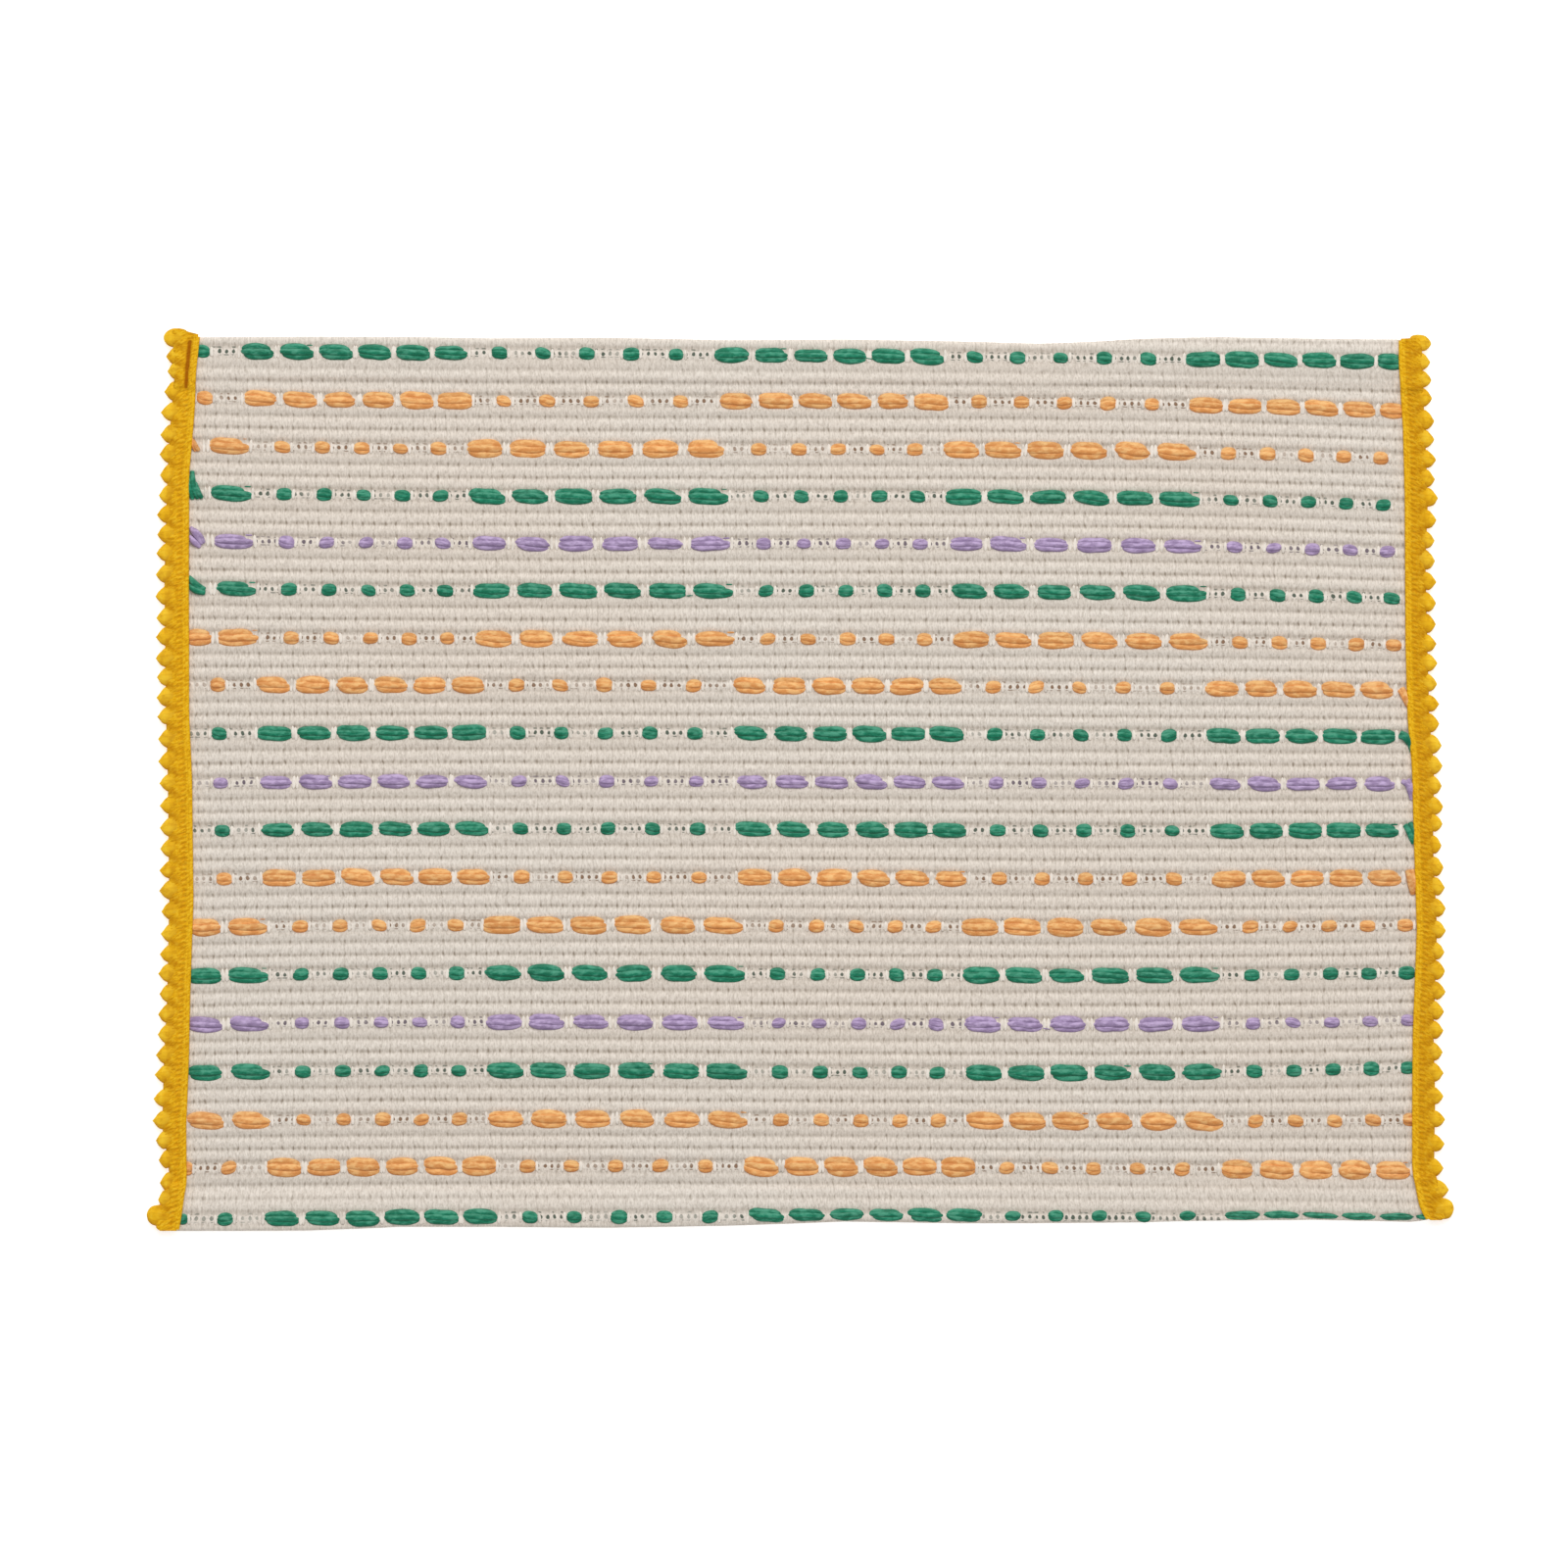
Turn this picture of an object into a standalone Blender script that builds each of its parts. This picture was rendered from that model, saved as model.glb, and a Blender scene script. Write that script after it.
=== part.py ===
"""Woven table mat: one thick ribbed cloth with rows of coloured floats and a turned hem
along each long edge, and a looped braid laid down each short edge.

The tables are in millimetres and the scene in metres, +Z up. X runs along the ribs and Y
across them. The origin is the middle of the mat, on the surface that it lies on.
"""

import math
import random
from collections import namedtuple

import bmesh
import bpy
import numpy as np
from mathutils.geometry import delaunay_2d_cdt

MM = 0.001

# ---------------------------------------------------------------- driving dimensions (mm)

HALF_SPAN = 220.0  # the tables of lie are worked out at this distance from the middle
REPEAT = 178.1  # of the float pattern, along a row
REPEATS = 3  # that a row needs to cross the mat

GROOVE_Z = 1.8  # cloth thickness at a groove between two ribs
RIB_Z = 2.3  # and on a rib
GAP_Z = 1.9  # and between two floats of a row
DASH_RISE = 1.25  # a long float's crest above the ribs
DOT_RISE = 0.75  # a short float's crest above the ribs
FOLD_Z = 1.0  # where the turned edge is roundest
ROLL_Z = 1.9  # the cloth just inside that edge, before the hem's rise

HEM_RISE = 1.3  # the hem's second layer lifts the face by this much
HEM_TOP = 16.0  # depth of the hem on each long edge
HEM_BOTTOM = 13.5
HEM_STEP = 2.4  # width of the slope where a hem ends

ROLL_INSET = 0.6  # from the turned edge to the line just inside it
UNDER_BRAID = 1.0  # ribs run this far under a braid
CLOTH_UNDER = 5.0  # and the cloth itself this far
END_EASE = 3.0  # a groove flattens out over this length before a braid
RIBS = 3  # between two rows of floats
RIB_STEP = 52.0  # spacing of the points along a rib
EDGE_STEP = 20.0  # spacing of the points along the outline

SHOULDER = 1.4  # a long float's full width starts this far from its tip
CREST = 2.0  # and its full height this far
DOT_CREST = 1.7  # or this far on a short float
SHORTEST = 4.4  # a float that the braid leaves shorter than this is hidden
END_DASH_EXTRA = 1.3  # the last long float of a B group is longer

BRAID_GAP = 0.3  # air between a braid and the cloth below it
BRAID_CLEAR = 0.8  # and between the cloth's cut end and the bobbles
BOBBLE_PITCH = 7.83
BRAID_LEAN = 1.2  # a bobble's tip lies this much lower than its root
VALLEY_IN = 2.9  # the braid's outline between two bobbles is this far inside their tips
BOBBLE_PHASES = (0.0, 0.27, 0.5, 0.73)  # sections of one bobble, as shares of the pitch
ROUNDNESS = 0.8  # a bobble's swelling is a half sine to this power
LEAST_SWELL = 0.86  # of the smallest bobble, where the largest has 1
UNDER_DIP = 1.0  # a bobble hangs this far below the cloth's face beside its cut end
END_CLEAR = 0.8  # no section is closer than this to a braid's end

# Lines along a row stay this far inside a turned edge, so that they never meet on it.
CLEAR_OF_EDGE = {"groove": 1.2, "crest": 2.0, "far_groove": 3.2}
CUT_POINTS = 16  # along each cut end of the cloth, between the hems

# ---------------------------------------------------------------- tables (mm)

# Rows of floats, top to bottom: the row's place at mid-width, its yarn, which of the two
# alternating patterns it has, and how wide its long floats are.
Row = namedtuple("Row", "y yarn phase width")
ROWS = [
    Row(158.5, "green", "A", 5.4),
    Row(141.4, "orange", "A", 6.2),
    Row(123.5, "orange", "B", 6.9),
    Row(105.9, "green", "B", 5.4),
    Row(88.2, "purple", "B", 5.1),
    Row(70.5, "green", "B", 5.6),
    Row(52.5, "orange", "B", 6.3),
    Row(35.0, "orange", "A", 6.5),
    Row(17.2, "green", "A", 5.3),
    Row(-0.9, "purple", "A", 4.8),
    Row(-18.7, "green", "A", 5.3),
    Row(-36.8, "orange", "A", 6.5),
    Row(-54.8, "orange", "B", 6.8),
    Row(-72.8, "green", "B", 5.8),
    Row(-91.2, "purple", "B", 5.5),
    Row(-109.4, "green", "B", 5.9),
    Row(-127.3, "orange", "B", 6.6),
    Row(-144.7, "orange", "A", 7.4),
    Row(-163.4, "green", "A", 5.3),
]

# Each repeat has a group of six long floats and a group of five short ones, and the two
# patterns have them the other way round. Float k of a group is centred at
# first + pitch * k + ease * k * k.
Motif = namedtuple("Motif", "phase kind first pitch ease count length")
MOTIFS = [
    Motif("A", "dash", -196.7, 14.85, -0.07, 6, 12.0),
    Motif("A", "dot", -283.0, 16.06, 0.09, 5, 5.2),
    Motif("B", "dash", -290.8, 15.80, 0.12, 6, 13.0),
    Motif("B", "dot", -189.2, 15.03, -0.13, 5, 5.2),
]

# A yarn's floats are this much longer than the motif says, and its short ones this wide.
Yarn = namedtuple("Yarn", "stretch dot_width color")
YARNS = {
    "green": Yarn(0.98, 3.9, (0.032, 0.205, 0.125)),
    "orange": Yarn(1.04, 4.8, (0.722, 0.381, 0.144)),
    "purple": Yarn(0.94, 3.3, (0.366, 0.275, 0.429)),
}

# How the cloth lies: at height y a float is pushed along its row by
# shift + spread * s + sway * s^2, and a row leaves its height by tilt * s + bow * s^2 +
# twist * s^3, where s is the distance from the middle over HALF_SPAN.
Lie = namedtuple("Lie", "y shift spread sway tilt bow twist")
LIES = [
    Lie(158.5, -7.9, -1.0, 0.4, -1.9, -0.4, 0.0),
    Lie(141.4, -6.2, -1.0, -0.5, -0.3, -1.1, -2.1),
    Lie(106.0, -4.4, -0.7, -0.7, 0.0, -1.0, -2.3),
    Lie(70.5, -2.5, -0.1, -0.1, -0.2, -0.9, -1.6),
    Lie(35.0, -1.2, -0.2, 0.2, -0.8, -0.7, -0.2),
    Lie(-0.9, -0.2, -0.1, 0.3, -1.1, -0.6, 1.0),
    Lie(-36.8, 0.8, 0.1, 0.9, -1.0, -0.2, 1.2),
    Lie(-72.8, 1.8, 0.4, 0.7, -1.5, -0.1, 2.1),
    Lie(-109.4, 2.7, 0.5, 0.6, -1.4, 0.6, 2.2),
    Lie(-144.7, 3.4, 0.9, 0.8, -1.0, -1.1, 0.6),
    Lie(-163.4, 5.4, 2.2, -1.3, -0.1, -1.4, -0.4),
]

# The two turned edges, left to right.
EdgePoint = namedtuple("EdgePoint", "x top bottom")
LONG_EDGES = [
    EdgePoint(-240, 165.1, -168.5),
    EdgePoint(-185, 165.6, -168.4),
    EdgePoint(-150, 165.6, -166.9),
    EdgePoint(-116, 164.9, -166.9),
    EdgePoint(-72, 165.3, -167.2),
    EdgePoint(-28, 164.2, -166.5),
    EdgePoint(16, 164.6, -165.2),
    EdgePoint(60, 163.8, -165.7),
    EdgePoint(89, 162.8, -165.7),
    EdgePoint(126, 164.6, -165.6),
    EdgePoint(155, 165.2, -165.0),
    EdgePoint(192, 164.6, -164.4),
    EdgePoint(240, 164.1, -165.2),
]

# The two braids, top to bottom: distance from the middle to the inner edge and to the tips.
BraidPoint = namedtuple("BraidPoint", "y inner tip")
BRAIDS = {
    "left": [
        BraidPoint(168.5, 224.9, 238.4),
        BraidPoint(152.4, 226.6, 237.2),
        BraidPoint(137.0, 227.3, 238.7),
        BraidPoint(114.0, 229.3, 240.1),
        BraidPoint(75.0, 229.4, 241.2),
        BraidPoint(24.0, 229.3, 240.6),
        BraidPoint(0.0, 228.2, 239.9),
        BraidPoint(-45.0, 227.7, 239.4),
        BraidPoint(-80.0, 228.9, 240.1),
        BraidPoint(-105.0, 229.4, 241.4),
        BraidPoint(-130.0, 230.4, 242.0),
        BraidPoint(-150.0, 230.2, 239.9),
        BraidPoint(-162.0, 231.9, 244.4),
        BraidPoint(-167.4, 233.1, 244.2),
    ],
    "right": [
        BraidPoint(165.2, 223.8, 235.6),
        BraidPoint(155.3, 223.9, 235.8),
        BraidPoint(132.0, 225.6, 236.8),
        BraidPoint(105.0, 226.3, 238.0),
        BraidPoint(81.0, 226.3, 237.1),
        BraidPoint(50.0, 226.5, 237.8),
        BraidPoint(22.0, 227.4, 238.6),
        BraidPoint(5.0, 229.1, 240.3),
        BraidPoint(-25.0, 230.0, 239.9),
        BraidPoint(-56.0, 230.8, 241.4),
        BraidPoint(-95.0, 228.9, 240.1),
        BraidPoint(-119.0, 228.7, 240.7),
        BraidPoint(-146.0, 229.0, 240.3),
        BraidPoint(-158.3, 231.4, 244.3),
        BraidPoint(-165.0, 234.0, 244.5),
    ],
}
SIDES = {"left": -1.0, "right": 1.0}
FIRST_TIP = {"left": 164.6, "right": 163.2}
UNEVEN_SEEDS = {"left": 15, "right": 16}

# The braid's section, round from its inner lower edge: how far out a point lies, as a share
# of the braid's width between two bobbles and in a bobble, and its height in both places,
# above the braid's seat where it is seated and above the table where it isn't.
SectionPoint = namedtuple("SectionPoint", "out_valley out_bobble z_valley z_bobble seated")
BRAID_SECTION = [
    SectionPoint(0.00, 0.00, 0.0, 0.0, True),
    SectionPoint(0.07, 0.07, 1.4, 1.4, True),
    SectionPoint(0.34, 0.34, 0.9, 0.9, True),
    SectionPoint(0.47, 0.47, 1.4, 2.1, True),
    SectionPoint(0.62, 0.70, 1.2, 2.5, True),
    SectionPoint(1.00, 1.00, 1.6, 2.7, False),
    SectionPoint(0.64, 0.72, 1.2, 0.4, False),
]

# ---------------------------------------------------------------- the lie of the cloth


def read(table, column, at, key="y"):
    """A table's column at one place, on straight lines between the table's rows."""
    rows = sorted(table, key=lambda row: getattr(row, key))
    places = [getattr(row, key) for row in rows]
    return float(np.interp(at, places, [getattr(row, column) for row in rows]))


def settled_y(y, x):
    """Where a point of height y ends up, at x, once its row bends."""
    s = x / HALF_SPAN
    tilt, bow, twist = (read(LIES, name, y) for name in ("tilt", "bow", "twist"))
    return y + tilt * s + bow * s**2 + twist * s**3


def settled_x(x, y):
    """Where a point of a row ends up along it."""
    s = x / HALF_SPAN
    shift, spread, sway = (read(LIES, name, y) for name in ("shift", "spread", "sway"))
    return x + shift + spread * s + sway * s**2


def top_edge(x):
    return read(LONG_EDGES, "top", x, "x")


def bottom_edge(x):
    return read(LONG_EDGES, "bottom", x, "x")


def kept_inside(x, y, clear):
    """y, moved so that it stays this far from both turned edges."""
    return min(max(y, bottom_edge(x) + clear), top_edge(x) - clear)


def hem_rise(x, y):
    """How much the hem below lifts the face at a point."""
    from_top = HEM_TOP - (top_edge(x) - y)
    from_bottom = HEM_BOTTOM - (y - bottom_edge(x))
    share = max(from_top, from_bottom) / HEM_STEP + 0.5
    share = min(max(share, 0.0), 1.0)
    return HEM_RISE * share * share * (3 - 2 * share)


def braid_inner(side, y):
    """x of a braid's inner edge."""
    return SIDES[side] * read(BRAIDS[side], "inner", y)


# ---------------------------------------------------------------- the floats

Float = namedtuple("Float", "kind start end half_width crest")


def floats_of(row):
    """The row's floats that lie clear of the braids, left to right."""
    found = []
    yarn = YARNS[row.yarn]
    low = braid_inner("left", row.y) - UNDER_BRAID
    high = braid_inner("right", row.y) + UNDER_BRAID
    for motif in (m for m in MOTIFS if m.phase == row.phase):
        width = row.width if motif.kind == "dash" else yarn.dot_width
        rise = DASH_RISE if motif.kind == "dash" else DOT_RISE
        for group in range(REPEATS):
            for k in range(motif.count):
                place = motif.first + REPEAT * group + motif.pitch * k + motif.ease * k * k
                length = motif.length * yarn.stretch
                if motif.phase == "B" and motif.kind == "dash" and k == motif.count - 1:
                    length += END_DASH_EXTRA
                middle = settled_x(place, row.y)
                start = max(middle - length / 2, low + UNDER_BRAID)
                end = min(middle + length / 2, high - UNDER_BRAID)
                if end - start > SHORTEST:
                    found.append(Float(motif.kind, start, end, width / 2, rise))
    return sorted(found, key=lambda one: one.start)


# ---------------------------------------------------------------- the cloth

# A point of the cloth's face. Its yarn is set only on the crest of a float.
Point = namedtuple("Point", "x y z yarn")


def face_point(x, y, height, clear, yarn=None):
    y = kept_inside(x, y, CLEAR_OF_EDGE[clear])
    return Point(x, y, height + hem_rise(x, y), yarn)


def ends_of(y_at):
    """Where a line along the ribs starts and ends, a little way under the braids."""
    low, high = -HALF_SPAN, HALF_SPAN
    for _ in range(2):
        low = braid_inner("left", y_at(low)) - UNDER_BRAID
        high = braid_inner("right", y_at(high)) + UNDER_BRAID
    return low, high


def rib_line(y_at, height):
    """One crest or groove of the ribs, flat at both ends."""
    low, high = ends_of(y_at)
    count = round((high - low) / RIB_STEP)
    places = np.linspace(low + END_EASE, high - END_EASE, count)
    line = [face_point(low, y_at(low), RIB_Z, "groove")]
    line += [face_point(x, y_at(x), height, "groove") for x in places]
    line.append(face_point(high, y_at(high), RIB_Z, "groove"))
    return line


def crest_line(row, floats, y_at):
    """The middle line of a row, up over each float and down between them."""
    low, high = ends_of(y_at)
    line = [face_point(low, y_at(low), RIB_Z, "crest")]
    for one in floats:
        top = RIB_Z + one.crest
        inset = CREST if one.kind == "dash" else DOT_CREST
        tops = (one.start + inset, one.end - inset)
        line.append(face_point(one.start, y_at(one.start), GAP_Z, "crest"))
        line += [face_point(x, y_at(x), top, "crest", row.yarn) for x in tops]
        line.append(face_point(one.end, y_at(one.end), GAP_Z, "crest"))
    line.append(face_point(high, y_at(high), RIB_Z, "crest"))
    return line


def float_side(floats, y_at, way, clear):
    """The groove along one side of a row, which runs round the floats."""
    low, high = ends_of(y_at)
    reach = floats[0].half_width
    line = [face_point(low, y_at(low) + way * reach, RIB_Z, clear)]
    for one in floats:
        if one.kind == "dash":
            places = (one.start + SHOULDER, one.end - SHOULDER)
        else:
            places = ((one.start + one.end) / 2,)
        line += [face_point(x, y_at(x) + way * one.half_width, GROOVE_Z, clear) for x in places]
    line.append(face_point(high, y_at(high) + way * reach, RIB_Z, clear))
    return line


def between(upper, lower, share):
    """A height that lies this share of the way from one row to the next."""
    return lambda x: (1 - share) * settled_y(upper, x) + share * settled_y(lower, x)


def cloth_lines():
    """Every crest and groove of the face, as lines that never cross."""
    lines = []
    above = ROWS[0].y + (ROWS[0].y - ROWS[1].y)
    steps = 2 * (RIBS + 1)
    lines.append(rib_line(between(ROWS[0].y, above, 2 / steps), RIB_Z))
    for number, row in enumerate(ROWS):
        y_at = between(row.y, row.y, 0.0)
        floats = floats_of(row)
        lines.append(float_side(floats, y_at, 1, "far_groove"))
        lines.append(crest_line(row, floats, y_at))
        lines.append(float_side(floats, y_at, -1, "groove"))
        if number + 1 < len(ROWS):
            for step in range(2, steps - 1):
                height = GROOVE_Z if step % 2 else RIB_Z
                lines.append(rib_line(between(row.y, ROWS[number + 1].y, step / steps), height))
    return lines


def roll_line(edge, way):
    """The line just inside a turned edge."""
    low = braid_inner("left", edge(-HALF_SPAN)) - UNDER_BRAID
    high = braid_inner("right", edge(HALF_SPAN)) + UNDER_BRAID
    places = np.linspace(low, high, round((high - low) / EDGE_STEP))
    return [Point(x, edge(x) + way * ROLL_INSET, ROLL_Z + HEM_RISE, None) for x in places]


def side_of_outline(side):
    """The cloth's cut end under a braid, from bottom to top."""
    x = SIDES[side] * HALF_SPAN
    low, high = bottom_edge(x), top_edge(x)
    steps = [low + HEM_BOTTOM - HEM_STEP, low + HEM_BOTTOM + HEM_STEP]
    steps += [high - HEM_TOP - HEM_STEP, high - HEM_TOP + HEM_STEP]
    places = list(np.linspace(low + HEM_BOTTOM, high - HEM_TOP, CUT_POINTS + 2)[1:-1])
    places = sorted(places + steps + [low + ROLL_INSET * 2, high - ROLL_INSET * 2])
    points = []
    for y in places:
        out = braid_inner(side, y) + SIDES[side] * CLOTH_UNDER
        points.append(Point(out, y, RIB_Z + hem_rise(x, y), None))
    return points


def cloth_outline():
    """The outline, anticlockwise from its lower left corner."""
    low = braid_inner("left", ROWS[-1].y) - CLOTH_UNDER
    high = braid_inner("right", ROWS[-1].y) + CLOTH_UNDER
    places = np.linspace(low, high, round((high - low) / EDGE_STEP))
    outline = [Point(x, bottom_edge(x), FOLD_Z, None) for x in places]
    outline += side_of_outline("right")
    low = braid_inner("left", ROWS[0].y) - CLOTH_UNDER
    high = braid_inner("right", ROWS[0].y) + CLOTH_UNDER
    places = np.linspace(high, low, round((high - low) / EDGE_STEP))
    outline += [Point(x, top_edge(x), FOLD_Z, None) for x in places]
    outline += reversed(side_of_outline("left"))
    return outline


def cloth_mesh():
    """The face over its lines, and a flat underside of the same outline."""
    points = cloth_outline()
    rim = len(points)
    edges = []
    lines = cloth_lines() + [roll_line(top_edge, -1), roll_line(bottom_edge, 1)]
    for line in lines:
        first = len(points)
        points += line
        edges += [(k, k + 1) for k in range(first, len(points) - 1)]
    flat = [(point.x, point.y) for point in points]
    corners, _, faces, sources, _, _ = delaunay_2d_cdt(flat, edges, [list(range(rim))], 1, 1e-4)
    source = [points[found[0]] for found in sources]
    name_of = {found[0]: number for number, found in enumerate(sources)}

    mesh = bmesh.new()
    top = [mesh.verts.new((c.x * MM, c.y * MM, p.z * MM)) for c, p in zip(corners, source)]
    yarns = list(YARNS)
    for face in faces:
        made = mesh.faces.new([top[k] for k in face])
        crests = [source[k].yarn for k in face if source[k].yarn]
        made.material_index = 1 + yarns.index(crests[0]) if crests else 0
    rim_top = [top[name_of[k]] for k in range(rim)]
    rim_low = [mesh.verts.new((v.co.x, v.co.y, 0.0)) for v in rim_top]
    for k in range(rim):
        after = (k + 1) % rim
        mesh.faces.new((rim_low[k], rim_low[after], rim_top[after], rim_top[k]))
    mesh.faces.new(list(reversed(rim_low)))
    return mesh


# ---------------------------------------------------------------- the braids


def bulge(phase):
    """How far a bobble has swelled, from 0 between two bobbles to 1 at its middle."""
    return max(0.0, math.sin(math.pi * (phase % 1.0))) ** ROUNDNESS


def braid_seat(side, y):
    """Height of the braid's underside above the table, clear of the hem's slope."""
    x = SIDES[side] * HALF_SPAN
    rise = max(hem_rise(x, y + step) for step in (-HEM_STEP, 0.0, HEM_STEP))
    return RIB_Z + rise + BRAID_GAP


def braid_ring(side, y, phase, swell):
    """The braid's section at one place, as points in metres."""
    inner = read(BRAIDS[side], "inner", y)
    width = read(BRAIDS[side], "tip", y) - inner
    grown = bulge(phase) * swell
    ring = []
    for place in BRAID_SECTION:
        valley = place.out_valley * (width - VALLEY_IN * (place.out_valley == 1.0))
        out = valley + (place.out_bobble * width - valley) * grown
        z = place.z_valley + (place.z_bobble - place.z_valley) * grown
        if place.seated:
            z += braid_seat(side, y)
        x = SIDES[side] * (inner + out)
        ring.append((x * MM, (y - BRAID_LEAN * out / width) * MM, z * MM))
    under = CLOTH_UNDER + BRAID_CLEAR
    lean = BRAID_LEAN * under / width
    x = SIDES[side] * (inner + under)
    ring.append((x * MM, (y - lean) * MM, (RIB_Z - UNDER_DIP * grown) * MM))
    ring.append((x * MM, (y - lean) * MM, braid_seat(side, y) * MM))
    return ring


def braid_stations(side):
    """Places down a braid, with how far through a bobble each one is."""
    start, end = BRAIDS[side][0].y, BRAIDS[side][-1].y
    top = FIRST_TIP[side] + BOBBLE_PITCH / 2
    count = math.ceil((top - end) / BOBBLE_PITCH)
    places = [top - BOBBLE_PITCH * (k + part) for k in range(count) for part in BOBBLE_PHASES]
    places = [y for y in places if start - END_CLEAR > y > end + END_CLEAR]
    return [(y, (top - y) / BOBBLE_PITCH) for y in [start, *places, end]]


def braid_mesh(side):
    """The braid, lofted through its sections."""
    rng = random.Random(UNEVEN_SEEDS[side])
    stations = braid_stations(side)
    bobbles = int(stations[-1][1]) + 1
    swells = [rng.uniform(LEAST_SWELL, 1.0) for _ in range(bobbles)]
    mesh = bmesh.new()
    rings = []
    for y, phase in stations:
        ring = braid_ring(side, y, phase, swells[int(phase)])
        rings.append([mesh.verts.new(point) for point in ring])
    around = len(rings[0])
    for upper, lower in zip(rings, rings[1:]):
        for k in range(around):
            after = (k + 1) % around
            mesh.faces.new((upper[k], upper[after], lower[after], lower[k]))
    mesh.faces.new(rings[0])
    mesh.faces.new(rings[-1])
    bmesh.ops.recalc_face_normals(mesh, faces=mesh.faces)
    return mesh


# ---------------------------------------------------------------- objects and materials


def material(name, color, roughness):
    made = bpy.data.materials.new(name)
    made.use_nodes = True
    shader = made.node_tree.nodes["Principled BSDF"]
    shader.inputs["Base Color"].default_value = (*color, 1.0)
    shader.inputs["Roughness"].default_value = roughness
    shader.inputs["Metallic"].default_value = 0.0
    return made


def add_object(name, mesh, materials):
    data = bpy.data.meshes.new(name)
    mesh.to_mesh(data)
    mesh.free()
    for one in materials:
        data.materials.append(one)
    made = bpy.data.objects.new(name, data)
    bpy.context.scene.collection.objects.link(made)
    return made


def main():
    for old in list(bpy.data.objects):
        bpy.data.objects.remove(old, do_unlink=True)
    cotton = material("natural_cotton", (0.651, 0.584, 0.509), 0.92)
    dyed = [material(f"{name}_yarn", yarn.color, 0.85) for name, yarn in YARNS.items()]
    add_object("cloth", cloth_mesh(), [cotton, *dyed])
    for side in SIDES:
        looped = material(f"braid_{side}_yarn", (0.760, 0.413, 0.015), 0.8)
        add_object(f"braid_{side}", braid_mesh(side), [looped])


main()
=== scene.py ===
"""Looks of a woven table mat: a ribbed cotton cloth with rows of coloured floats, a hem
turned under along each long edge, and a looped braid down each short edge.

The tables are in millimetres and the meshes in metres, +Z up. X runs along the ribs and Y
across them. The origin is the middle of the mat, on the surface that it lies on.
"""

import math
from collections import namedtuple

import bpy
import numpy as np
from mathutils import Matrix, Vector
from mathutils.geometry import tessellate_polygon


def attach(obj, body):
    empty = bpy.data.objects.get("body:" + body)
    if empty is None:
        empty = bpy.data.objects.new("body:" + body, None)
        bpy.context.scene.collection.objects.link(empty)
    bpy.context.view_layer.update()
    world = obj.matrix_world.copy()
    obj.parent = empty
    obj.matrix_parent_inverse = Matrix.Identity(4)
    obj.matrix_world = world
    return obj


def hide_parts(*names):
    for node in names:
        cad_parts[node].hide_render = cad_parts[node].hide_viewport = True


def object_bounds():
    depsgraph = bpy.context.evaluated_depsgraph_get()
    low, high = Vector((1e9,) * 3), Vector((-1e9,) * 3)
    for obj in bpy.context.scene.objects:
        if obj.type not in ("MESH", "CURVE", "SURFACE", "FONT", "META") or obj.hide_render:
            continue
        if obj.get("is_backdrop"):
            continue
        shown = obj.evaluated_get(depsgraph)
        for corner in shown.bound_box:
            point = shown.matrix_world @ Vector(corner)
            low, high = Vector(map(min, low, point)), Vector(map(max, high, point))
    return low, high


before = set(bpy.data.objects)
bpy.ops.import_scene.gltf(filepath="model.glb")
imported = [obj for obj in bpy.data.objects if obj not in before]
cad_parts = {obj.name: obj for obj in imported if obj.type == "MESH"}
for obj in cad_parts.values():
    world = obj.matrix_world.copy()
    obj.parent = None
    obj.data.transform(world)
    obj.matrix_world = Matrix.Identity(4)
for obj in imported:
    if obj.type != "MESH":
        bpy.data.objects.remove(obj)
cad_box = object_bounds()

MM = 0.001
TURN = 2 * math.pi

# ---------------------------------------------------------------- sizes (mm)

HALF_SPAN = 220.0  # the tables of lie are worked out at this distance from the middle
REPEAT = 178.1  # of the float pattern, along a row
REPEATS = 3  # that a row needs to cross the mat
RIBS_A_ROW = 4  # three ribs of bare cloth and the one that the floats lie in
GROOVES = (0.56, 1.63, 2.69, 3.6)  # where the grooves are, up from a row, in even ribs

VALLEY_Z = 1.72  # the face at a groove between two ribs
UNDER_Z = 0.54  # the underside there
RIB_HEIGHT = 0.58  # of a rib, above and below
ROW_DIP = 0.25  # the rib with the floats is lower by this much
UNDER_RELIEF = 0.8  # of the face's ribs, on the underside
HEM_RELIEF_LOSS = 0.3  # the ribs over a hem are lower by this share
HEM_RISE = 1.3
HEM_TOP = 16.0
HEM_BOTTOM = 13.5
HEM_STEP = 3.2
HEM_SHORT = 1.5  # the turned layer ends this far before the slope does
FLAP_THICK = 0.96
LAYER_GAP = 0.06  # between the turned layer and the cloth above it
FOLD_ROUND = 1.29  # radius of the turned edge
CLOTH_UNDER = 5.0  # the cloth runs this far under a braid, but no farther than its ends
CLOTH_ENDS = (-234.8, 235.8)

LINES_A_ROW = 20  # of the mesh, from one row of floats to the next
COLUMNS = 172
FOLD_LINES = 6
FLAP_LINES = 9
UNDER_LINES_A_ROW = 8
LAST_ROW_SHARE = 0.45  # of a row's lines, between the top row and the top edge

STRANDS = 3  # in a float
END_DASH_EXTRA = 1.3
SHORTEST = 1.5  # a float that shows less than this beside a braid is left out
TAIL_REACH = 5.0  # a loose end replaces a float that is this near
TIP_DEPTH = 0.5  # of a strand's ends, below the grooves of the face
STRAND_LOWEST = 0.75  # of any part of a strand, above the table
LOOSE_SHARE = 0.08  # of the long floats whose upper strand dives before the others
SLIVER_SHARE = 0.04  # of the gaps between long floats
BAR_OUT = 0.9  # from a float's tip to the middle of the warp that holds it down

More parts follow.
